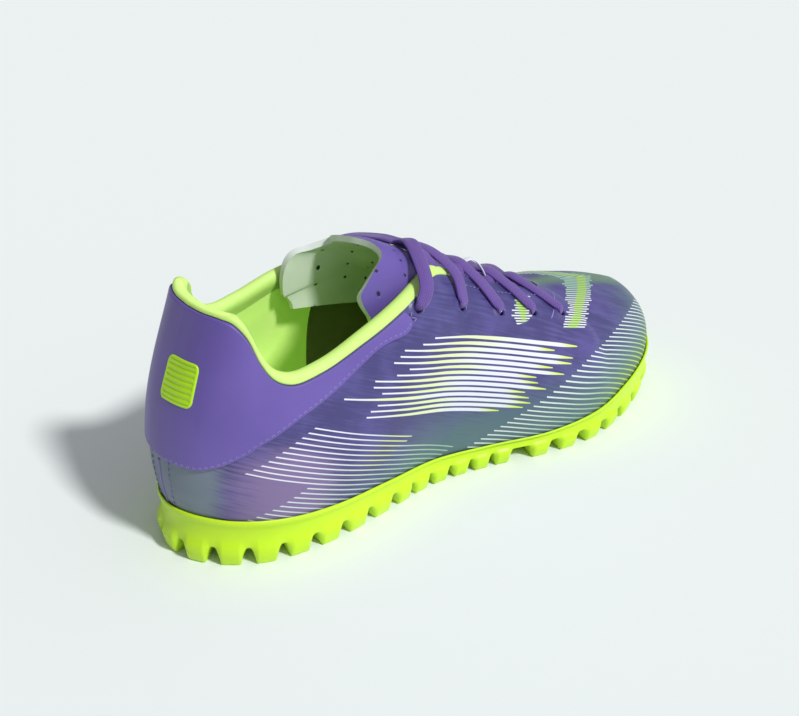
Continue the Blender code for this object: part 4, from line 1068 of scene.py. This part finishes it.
def build_stitches(name, rows, finish):
    """Sewing thread: each stitch is a bead drawn out between two points, bowed up and sunk at its ends.

    rows holds triples of starts, ends and normals.
    """
    starts, ends, normals = (np.concatenate([row[k] for row in rows]) for k in range(3))
    share = np.linspace(0, 1, 6)
    angle = np.linspace(0, 2 * math.pi, 7)
    across = unit(np.cross(ends - starts, normals))
    fat = THREAD / 2 * np.sqrt(np.clip(1 - (2 * share - 1) ** 4, 0, 1))
    bow = THREAD * (0.75 * np.sin(math.pi * share) - 0.25)
    middle = starts[:, None] + (ends - starts)[:, None] * share[:, None] + normals[:, None] * bow[:, None]
    ring = across[:, None] * np.cos(angle)[:, None] + normals[:, None] * np.sin(angle)[:, None]
    grid = middle[:, :, None] + fat[:, None, None] * ring[:, None]
    one = quads(numbered(len(share), len(angle)))
    faces = (one[None] + (np.arange(len(starts)) * len(share) * len(angle))[:, None, None]).reshape(-1, 4)
    return piece(name, grid.reshape(-1, 3), faces, finish)


def seam_stitches():
    """Zigzag stitches along the heel panel's lower edge and round its front, on both sides."""
    rows = []
    for side in (LATERAL, MEDIAL):
        at, rise = column(PANEL_PATH, "at")[:-1], column(PANEL_PATH, "rise")[:-1]
        points, normals, across = along_path(side, at, rise, 0.00125, GAP)
        turned = across * np.where((across[:, 2:3] < 0), -1, 1)
        swing = np.where(np.arange(len(points)) % 2, 1, -1)[:, None]
        shift = turned * (swing * 0.0011 + 0.0010) + normals * (np.where(swing > 0, PANEL_WALL, 0.0) + 0.0001)
        knots = points + shift
        rows.append((knots[:-1], knots[1:], normals[:-1]))
    return rows


def line_stitches(side, at, rise, length, gap, lift):
    """Plain stitches in a row along a line of the skin."""
    points, normals, _ = along_path(side, at, rise, length + gap, lift)
    run = unit(np.gradient(points, axis=0))
    return points, points + run * length, normals


def build_patch(finish):
    """A plain ribbed tab moulded on the back of the heel panel: a rounded rectangle with level ribs across it."""
    v, u = np.linspace(-1, 1, 61), np.linspace(-1, 1, 41)
    wide, tall, corner = 8.2 * MM, 9.0 * MM, 3.0 * MM
    over = np.maximum(np.abs(v) * tall - (tall - corner), 0)
    half = wide - corner + np.sqrt(np.clip(corner**2 - over**2, 0, None))
    sideways = u[None, :] * half[:, None] - 6.5 * MM
    upward = np.repeat((v * tall)[:, None], len(u), 1)
    at, rise = np.abs(sideways) / 0.332, 0.645 + upward / 0.086 - 0.0006 * (sideways / MM + 6.5)
    spots = [on_skin(side, at, rise, GAP + PANEL_WALL) for side in (LATERAL, MEDIAL)]
    left = (sideways < 0)[..., None]
    base, normal = (np.where(left, spots[0][k], spots[1][k]) for k in range(2))
    inset = np.minimum((1 - np.abs(u))[None, :] * half[:, None], (tall - np.abs(upward)))
    edge = np.sqrt(1 - (1 - np.clip(inset / 0.0008, 0, 1)) ** 2)
    inner_field = ease((inset - 0.0011) / 0.0004)
    ribs = 0.5 + 0.5 * np.cos(upward / (2.25 * MM) * 2 * math.pi)
    height = edge * (0.00055 - inner_field * 0.00035 * (1 - ease((ribs - 0.25) / 0.4)))
    points, faces = walled(base + normal * height[..., None], base - normal * 0.0002)
    return piece("heel_tab_print", points, faces, finish)


def tuck_depth():
    """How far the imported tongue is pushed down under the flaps, on its own grid of rows and columns."""
    solid = solid_points("tongue") - HEEL
    across = np.linspace(-1, 1, 15)
    end = smooth(column(TONGUE_END, "across"), column(TONGUE_END, "back"), across)
    at = np.linspace(0, 1, 11)[:, None] * end[None, :]
    free = tongue_point(at, np.repeat(across[None, :], 11, 0))
    gap = np.linalg.norm(solid[None, None, :, :2] - free[:, :, None, :2], axis=-1)
    drop = free[:, :, None, 2] - solid[None, None, :, 2]
    drop = np.where(gap < 2e-5, drop, np.inf)
    found = drop.min(-1)
    return np.where(np.isfinite(found), np.maximum(found, 0), 0)


def resample(table, rows, columns):
    """A small table of numbers spread smoothly over a finer grid."""
    a = np.stack([smooth(np.linspace(0, 1, len(table)), table[:, j], rows) for j in range(table.shape[1])], 1)
    return np.stack([smooth(np.linspace(0, 1, table.shape[1]), a[i], columns) for i in range(len(rows))])


def build_tongue(finish):
    """The tongue: an arched sheet of even thickness, its free end cut to the table's shape."""
    rows, columns = np.linspace(0, 1, 150), np.linspace(0, 1, 110)
    across = columns * 2 - 1
    end = smooth(column(TONGUE_CUT, "across"), column(TONGUE_CUT, "back"), across)
    at = rows[:, None] * end[None, :]
    spread = np.repeat(across[None, :], len(rows), 0)
    down = resample(tuck_depth(), rows, columns)
    outer, inner = tongue_point(at, spread), tongue_point(at, spread, TONGUE_WALL)
    outer[..., 2] -= down
    inner[..., 2] -= down
    points, faces = walled(outer, inner)
    count = outer.shape[0] * outer.shape[1]
    kind = np.where((faces < count).all(1), 0, np.where((faces >= count).all(1), 1, 2))
    place = np.stack([at * 150 + 3, spread * 38 + 3.5], -1).reshape(-1, 2)
    made = piece("tongue_sheet", points, faces, finish, ["tongue"],
                 maps={"place": np.tile(place, (2, 1))}, face_finish=kind)
    sharpen(made, 50)
    return made


def build_insole(finish):
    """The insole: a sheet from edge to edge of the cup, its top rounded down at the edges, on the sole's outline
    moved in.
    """
    turn = np.linspace(0.0, math.pi, 160)
    inset = np.full(len(turn), LIP_WIDTH + WALL + 3 * GAP)
    left, right = inset_outline(LATERAL, turn, inset), inset_outline(MEDIAL, turn, inset)
    share = (1 - np.cos(np.linspace(0, math.pi, 41))) / 2
    plan = left[:, None] + (right - left)[:, None] * share[None, :, None]
    edge = np.abs(share * 2 - 1)
    base = bed_height(turn)[:, None] + GAP + 0 * share
    top = base + INSOLE_WALL - INSOLE_BEVEL * (1 - np.sqrt(np.clip(1 - edge**8, 0, 1)))
    outer = np.concatenate([plan, top[..., None]], -1)
    inner = np.concatenate([plan, base[..., None]], -1)
    points, faces = walled(outer, inner)
    return piece("insole_sheet", points, faces, finish, ["insole"])


def lug_rise(side, turn):
    """How far the underside of the edge is up from a lug's foot (0) to the web (1), and the zone's size there."""
    fine, length = edge_lengths(side)
    here = np.interp(turn, fine, length)
    best, size = np.full(len(turn), np.inf), np.ones(len(turn))
    for zone in LUG_ZONES:
        for share in np.linspace(zone.first, zone.last, zone.count):
            away = np.abs(here - share * length[-1]) / (LUG_WIDTH * zone.size / 2)
            size = np.where(away < best, zone.size, size)
            best = np.minimum(best, away)
    return best, size


def build_sole(finish):
    """The outsole: a profile carried round the edge, with lugs and notches in its lower line, closed by the web.

    The lower line is the floor under a lug and the web in a notch, with a soft S between. Its shape from the
    inside of the lip, over the lip and down the stepped wall to the lug's foot and up to the web is the profile.
    """
    fine, length = edge_lengths(LATERAL)
    turn = np.interp(np.linspace(0, length[-1], SOLE_COLUMNS), length, fine)
    edge = sole_height("edge", SOLE_HEIGHT, turn)
    web = web_height(turn)
    tall = edge - web
    knots, foot = column(RIBS, "at"), turn_of(column(RIBS, "foot"))
    lean = LIP_HEIGHT * np.tan(np.radians(np.interp(turn, foot, column(RIBS, "flare"))))
    level = np.zeros(len(turn))
    rows = []
    for side in (LATERAL, MEDIAL):
        away, size = lug_rise(side, turn)
        up = 1 - (1 - np.clip((away - 0.66) / 0.54, 0, 1)) ** 1.9
        proud = LUG_BULGE * np.clip((0.98 - away) / 0.42, 0, 1)
        floor = spring(along_of(turn))
        low = floor + (web - floor) * up
        left = web - low
        deep = LUG_DEPTH * size * (1 - 0.10 * up)
        corner = 0.0016 * np.clip((away - 0.45) / 0.4, 0, 1) ** 2
        profile = [
            (LIP_WIDTH, edge - LIP_HEIGHT),
            (LIP_WIDTH - 0.9 * lean, edge - 0.0003),
            (LIP_WIDTH - lean - 0.0002, edge - 0.0001),
            (0.0007, edge),
            (0.0003, edge - 0.0002),
            (0.0001, edge - 0.0008),
            (0.0002, web + 0.84 * tall),
            (0.0005, web + 0.78 * tall),
            (0.0009, web + 0.70 * tall),
            (0.0012, web + 0.60 * tall),
            (0.0013, web + 0.46 * tall),
            (0.0012, web + 0.32 * tall),
            (0.0010 - 0.12 * proud, web + 0.18 * tall),
            (0.0008 - 0.55 * proud, web + 0.06 * tall),
            (0.0007 - proud, web - 0.16 * left),
            (0.0010 - 0.85 * proud, web - 0.50 * left),
            (0.0015 - 0.65 * proud, web - 0.88 * left),
            (0.0019 - 0.60 * proud, web - 0.97 * left),
            (0.0027 - 0.50 * proud, low),
            (UNDERCUT + deep * 0.5, low),
            (UNDERCUT + deep - 0.0020 - corner, low),
            (UNDERCUT + deep - 0.0011 - corner, low + 0.05 * left),
            (UNDERCUT + deep - 0.0004 - 0.8 * corner, low + 0.4 * left),
            (UNDERCUT + deep + 0.0006, web),
        ]
        ring = [np.c_[inset_outline(side, turn, inset + level), height + level] for inset, height in profile]
        rows.append(np.stack(ring, 1))
    outer, inner = rows
    cross = np.linspace(0, 1, 5)[None, :, None]
    bed, under = (outer[:, [k]] * (1 - cross) + inner[:, [k]] * cross for k in (0, -1))
    grid = np.concatenate([bed[:, ::-1], outer, under, inner[:, ::-1]], 1)
    grid = np.concatenate([grid, grid[:, :1]], 1)
    faces = quads(numbered(*grid.shape[:2]))
    return piece("sole_cup", grid.reshape(-1, 3), faces, finish, ["outsole"])


def build_studs(finish):
    """Rows of rounded six-sided studs under the foot: rings of a superellipse that narrows to a flat foot."""
    margin = UNDERCUT + LUG_INSET + LUG_DEPTH + INNER_LUG_RADIUS * 1.30
    angle = np.linspace(0, 2 * math.pi, 25)[:-1]
    six = 1 / np.cos((angle + math.pi / 6) % (math.pi / 3) - math.pi / 6) ** 0.6
    wide = np.array([1.12, 1.02, 0.94, 0.86, 0.80, 0.70, 0.0])
    share = np.array([1.0, 0.80, 0.45, 0.12, 0.03, 0.0, 0.0])
    points, faces = [], []
    for row in LUG_ROWS:
        here = turn_of(np.array([row.along]))
        low = outline_half(LATERAL, here)[0][1] + margin
        high = outline_half(MEDIAL, here)[0][1] - margin
        lift, top = float(spring(row.along)), float(web_height(here)[0]) + LUG_ROOT
        for y in np.linspace(low, high, row.count):
            radius = INNER_LUG_RADIUS * 0.94 * wide[:, None] * six
            x = row.along * LENGTH + radius * np.cos(angle)
            z = (lift + (top - lift) * share)[:, None] + 0 * radius
            ring = np.stack([x, y + radius * np.sin(angle), z], -1)
            index = numbered(len(wide), len(angle), sum(len(p) for p in points))
            faces.append(quads(np.concatenate([index, index[:, :1]], 1)))
            points.append(ring.reshape(-1, 3))
    points, faces = np.concatenate(points), np.concatenate(faces)
    return piece("sole_studs", points, faces, finish, ["outsole"])


def smooth_path(knots, points, at):
    """A smooth curve through points, each at its own knot, read at other knots."""
    return np.stack([smooth(knots, points[:, k], at) for k in range(3)], -1)


def surface_trees(*pieces):
    """A search tree for each piece's faces, in the frame."""
    return [BVHTree.FromObject(each, bpy.context.evaluated_depsgraph_get()) for each in pieces]


def settle(path, normals, trees):
    """Lays a strand on what is under it: never closer than half a lace, and taut where it bridges a hollow."""
    across = unit(np.cross(np.gradient(path, axis=0), normals))
    needed = []
    for p, n, a in zip(path, normals, across):
        lift = -LACE_SEARCH
        for side in (-0.5, -0.25, 0.0, 0.25, 0.5):
            start = Vector(p + a * side * LACE_WIDTH + n * LACE_SEARCH + HEEL)
            for tree in trees:
                away = tree.ray_cast(start, Vector(-n))[3]
                if away is not None:
                    lift = max(lift, LACE_SEARCH - away + LACE_THICKNESS / 2)
        needed.append(lift)
    needed = np.array(needed)
    lift = needed.copy()
    for _ in range(400):
        lift[1:-1] = np.maximum(needed[1:-1], (lift[:-2] + lift[2:]) / 2)
    return path + normals * lift[:, None]


def strand(side, row, trees, raised):
    """One lace strand: up out of its hole, over the edge of the throat and across the tongue to the far edge."""
    here, normal = eyelet(side, row)
    at = EYELETS[row].at
    step = at - EYELETS[row - 1].at if row else 0.0
    near_at, far_at = (at - (0.30 if row > 1 else 0.02) * step, at - 0.55 * step) if row else (TOP_NEAR, TOP_FAR)
    near = rib_top(side, np.array(near_at))
    far = rib_top(-side, np.array(far_at))
    corner = abs(rib_top(-side, np.array(THROAT_CORNER))[1])
    far[1] = -side * (min(abs(far[1]), corner) - LACE_WIDTH * 0.5 - 4 * GAP)
    t = np.linspace(0, 1, 61)
    path = smooth_path([0.0, 0.42, 1.0], np.stack([here, near, far]), t)
    upright = np.array([0.0, 0.0, 1.0])
    blend = ease(t / 0.75)[:, None]
    normals = unit(normal * (1 - blend) + upright * blend)
    path = settle(path, normals, trees)
    path += upright * (raised * LACE_FULLNESS * np.sin(math.pi * ease((t - 0.30) / 0.70)) ** 2)[:, None]
    rib, rise = np.full(3, far_at), np.array([0.985, 0.95, 0.90])
    tucked, tucked_normals = on_skin(-side, rib, rise, -wall_at(rib, rise)[:, None] - 0.0004)
    path, normals = np.concatenate([path, tucked]), np.concatenate([normals, tucked_normals])
    toward = unit(path[10] - here)
    clear = np.linalg.norm(path - here, axis=1) > 0.0046
    dip = [here - normal * 0.0050, here - normal * 0.0020, here + normal * 0.0011 + toward * 0.0012]
    turned = [-toward, -toward, unit(normal * 0.9 - toward)]
    path = np.concatenate([dip, path[clear]])
    normals = np.concatenate([turned, normals[clear]])
    far = lengths(path)
    even = np.linspace(0, far[-1], 96)
    return smooth_path(far, path, even), unit(smooth_path(far, normals, even))


def ribbon(path, normals, width=LACE_WIDTH, thickness=LACE_FULLNESS, start=1.0):
    """A flat soft tape along a path: its section is a flat oval. start: its share of the width in its hole."""
    run = unit(np.gradient(path, axis=0))
    across = unit(np.cross(run, normals))
    up = np.cross(across, run)
    angle = np.linspace(0, 2 * math.pi, 25)
    far = lengths(path)
    size = (start + (1 - start) * ease((far - 0.0035) / 0.0065))[:, None]
    wide = np.sign(np.cos(angle)) * np.abs(np.cos(angle)) ** 0.8 * width / 2 * size
    tall = np.sign(np.sin(angle)) * np.abs(np.sin(angle)) ** 0.8 * thickness / 2 * (1.25 - 0.25 * size)
    grid = path[:, None] + across[:, None] * wide[..., None] + up[:, None] * tall[..., None]
    weave = np.stack(np.broadcast_arrays(far[:, None], wide), -1) / MM
    first, last = (np.broadcast_to(grid[k].mean(0), grid[:1].shape) for k in (0, -1))
    grid = np.concatenate([first, grid, last])
    weave = np.concatenate([weave[:1], weave, weave[-1:]])
    return grid.reshape(-1, 3), quads(numbered(*grid.shape[:2])), weave.reshape(-1, 2)


def build_laces(finish, trees):
    """Five crossings, each of two strands."""
    for row in range(len(EYELETS)):
        for name, side, raised in (("under", MEDIAL, 0.0), ("over", LATERAL, 1.5 if row == 0 else 0.9)):
            points, faces, weave = ribbon(*strand(side, row, trees, raised), start=0.6)
            replaced = [f"lace_cross_{row + 1}"]
            piece(f"lace_{row + 1}_{name}", points, faces, finish, replaced, maps={"weave": weave})


def tape(name, path, normals, width, thickness, finish, kind="upper_synthetic"):
    """One narrow tape laid along a path as its own piece."""
    points, faces, weave = ribbon(path, normals, width, thickness)
    return piece(name, points, faces, finish, maps={"weave": weave})


def build_trims(thread, white):
    """Sewn and printed details of the upper: seams, the line round the front of the lacing, tongue loop."""
    build_stitches("panel_stitches", seam_stitches(), [thread])
    rear_seam = ([0.0185] * 3, [0.03, 0.14, 0.245], 0.0019, 0.0009)
    lacing_seam = ([0.450, 0.50, 0.55, 0.60, 0.655], [0.930, 0.927, 0.924, 0.921, 0.918], 0.0016, 0.0011)
    rows = [line_stitches(side, *seam, 0.0001) for side in (LATERAL, MEDIAL) for seam in (rear_seam, lacing_seam)]
    build_stitches("upper_stitches", rows, [thread])
    line = ([0.700, 0.684, 0.668, 0.648, 0.630, 0.612], [0.940, 0.916, 0.887, 0.840, 0.790, 0.738])
    for side, name in ((LATERAL, "outer"), (MEDIAL, "inner")):
        tape(f"vamp_line_{name}", *along_path(side, *line, 0.0006, 0.0)[:2], 0.00055, 0.00035, [thread])
    tape("rear_piping", *along_path(LATERAL, [0.0, 0.0], [0.02, 0.25], 0.0008, 0.0)[:2], 0.0012, 0.0008, [thread])
    t = np.linspace(0, 1, 60)
    path = tongue_point(0.565 - 0.135 * t, -0.10 - 0.02 * t)
    path[:, 2] += 0.0005 + 0.0078 * np.sin(math.pi * t) ** 0.8
    upright = unit(np.broadcast_to(np.array([0.0, -0.25, 1.0]), path.shape))
    tape("tongue_loop", path, upright, 0.0024, 0.0009, [white], "lace_cloth")


VIEW_ANGLES = (-42.40369, 28.25074, 3.08302)  # azimuth, elevation and roll, in degrees
VIEW_MIDDLE = (0.13, 0.0, 0.04)  # what the camera looks near to, in the shoe's own measures
VIEW_FROM = (-0.00752, 0.00505, 0.47279)  # the camera from there, to its right, up and back
VIEW_FOCUS, PHOTO_WIDTH = 1034.775, 799  # in pixels of the photograph
KEY_SIDE = Vector((0.20, -1.02, 1.14))  # from the shoe to the key light
KEY_LIGHT, KEY_ANGLE = 2.6, math.radians(8)
BRIGHT_SIDE = Vector((0.62, -0.38, 0.68))
ROOM_LIGHT = (0.10, 0.55)  # at its darkest and at its brightest
FLOOR_HALF = 8.0


def camera():
    """The photograph's view, found from the sole's outline and the collar."""
    azimuth, elevation, roll = np.radians(VIEW_ANGLES)
    back = np.array([math.sin(azimuth), -math.cos(azimuth), 0.0]) * math.cos(elevation)
    back[2] = math.sin(elevation)
    right = np.array([math.cos(azimuth), math.sin(azimuth), 0.0])
    up = np.cross(back, right)
    turned = right * math.cos(roll) + up * math.sin(roll)
    axes = np.stack([turned, up * math.cos(roll) - right * math.sin(roll), back])
    place = np.array(VIEW_FROM) @ axes + np.array(VIEW_MIDDLE) + HEEL
    made = bpy.data.objects.new("camera", bpy.data.cameras.new("camera"))
    made.data.sensor_width = 36.0
    made.data.lens = made.data.sensor_width * VIEW_FOCUS / PHOTO_WIDTH
    made.data.clip_start = 0.01
    made.matrix_world = Matrix.Translation(Vector(place)) @ Matrix(axes.T.tolist()).to_4x4()
    bpy.context.scene.collection.objects.link(made)
    bpy.context.scene.camera = made


def studio():
    """A pale floor, a fairly hard key light from the outer side and a pale room that fills the shade.

    The room is darkest behind the camera and brightest towards BRIGHT_SIDE.
    """
    key = bpy.data.objects.new("key", bpy.data.lights.new("key", "SUN"))
    key.data.energy = KEY_LIGHT
    key.data.angle = KEY_ANGLE
    key.rotation_mode = "QUATERNION"
    key.rotation_quaternion = KEY_SIDE.to_track_quat("Z", "Y")
    bpy.context.scene.collection.objects.link(key)
    world = bpy.data.worlds.new("room")
    bpy.context.scene.world = world
    world.use_nodes = True
    tree = world.node_tree
    back = tree.nodes["Background"]
    back.inputs["Color"].default_value = linear("#F2F6F8")
    facing = add(tree, "facing", add(tree, "place"), BRIGHT_SIDE.normalized())
    tree.links.new(add(tree, "level", facing, -0.5, 0.9, *ROOM_LIGHT), back.inputs["Strength"])
    made, tree, shader = material("floor_paper", "#EEF3F2", 0.9)
    shader.inputs["Specular IOR Level"].default_value = 0.0
    mesh = bpy.data.meshes.new("floor")
    corners = [(x * FLOOR_HALF, y * FLOOR_HALF, 0) for x, y in ((-1, -1), (1, -1), (1, 1), (-1, 1))]
    mesh.from_pydata(corners, [], [(0, 1, 2, 3)])
    mesh.materials.append(made)
    obj = bpy.data.objects.new("floor", mesh)
    bpy.context.scene.collection.objects.link(obj)
    bpy.context.scene.view_settings.view_transform = "Standard"


def main():
    camera()
    studio()
    skin, lining, panel, rubber, lace = (
        make() for make in (printed_skin, knit_lining, panel_leather, sole_rubber, woven_lace)
    )
    tongue_face = perforated("tongue_polyurethane_face", "#6A57A8", "#6350A0", 0.5, 0.6, 0.05)
    tongue_back = perforated("tongue_brushed_cloth", "#DCE8D4", "#CAD6C2", 0.9, 0.7, 0.12)
    tongue_edge = grained("tongue_cut_edge", "#DDE2E0", "#CFD5D2", 0.8, 0.5, 0.05)[0]
    # Front lining: a darker grey-brown cloth, partly its own colour and partly painted shade of the deep inside of
    # the toe.
    front_lining = grained("grey_brown_mesh_lining_painted_shade", "#7E8258", "#70744C", 0.9, 0.8, 0.12)[0]
    # Insole: a dull olive, partly its own colour and partly painted shade of the deep inside of the shoe.
    insole = grained("insole_brushed_polyester_painted_shade", "#7E8250", "#707446", 0.9, 0.9, 0.15)[0]
    binding = grained("padded_lime_binding", "#D2F588", "#CBF07C", 0.6, 0.6, 0.04)[0]
    thread = grained("spun_polyester_thread", "#9385C4", "#8577B6", 0.7, 0.3, 0.05)[0]
    white = grained("white_woven_tape", "#E4E6EC", "#D6D9E2", 0.7, 0.4, 0.05)[0]
    tab = grained("raised_lime_print", "#BFF01C", "#B6E814", 0.35, 0.5, 0.02)[0]
    build_sole([rubber])
    build_studs([rubber])
    upper = build_skin([skin, lining, front_lining])
    build_panel([panel])
    build_patch([tab])
    roll = build_binding([binding])
    tongue = build_tongue([tongue_face, tongue_back, tongue_edge])
    build_insole([insole])
    build_laces([lace], surface_trees(upper, tongue, roll))
    build_trims(thread, white)


main()
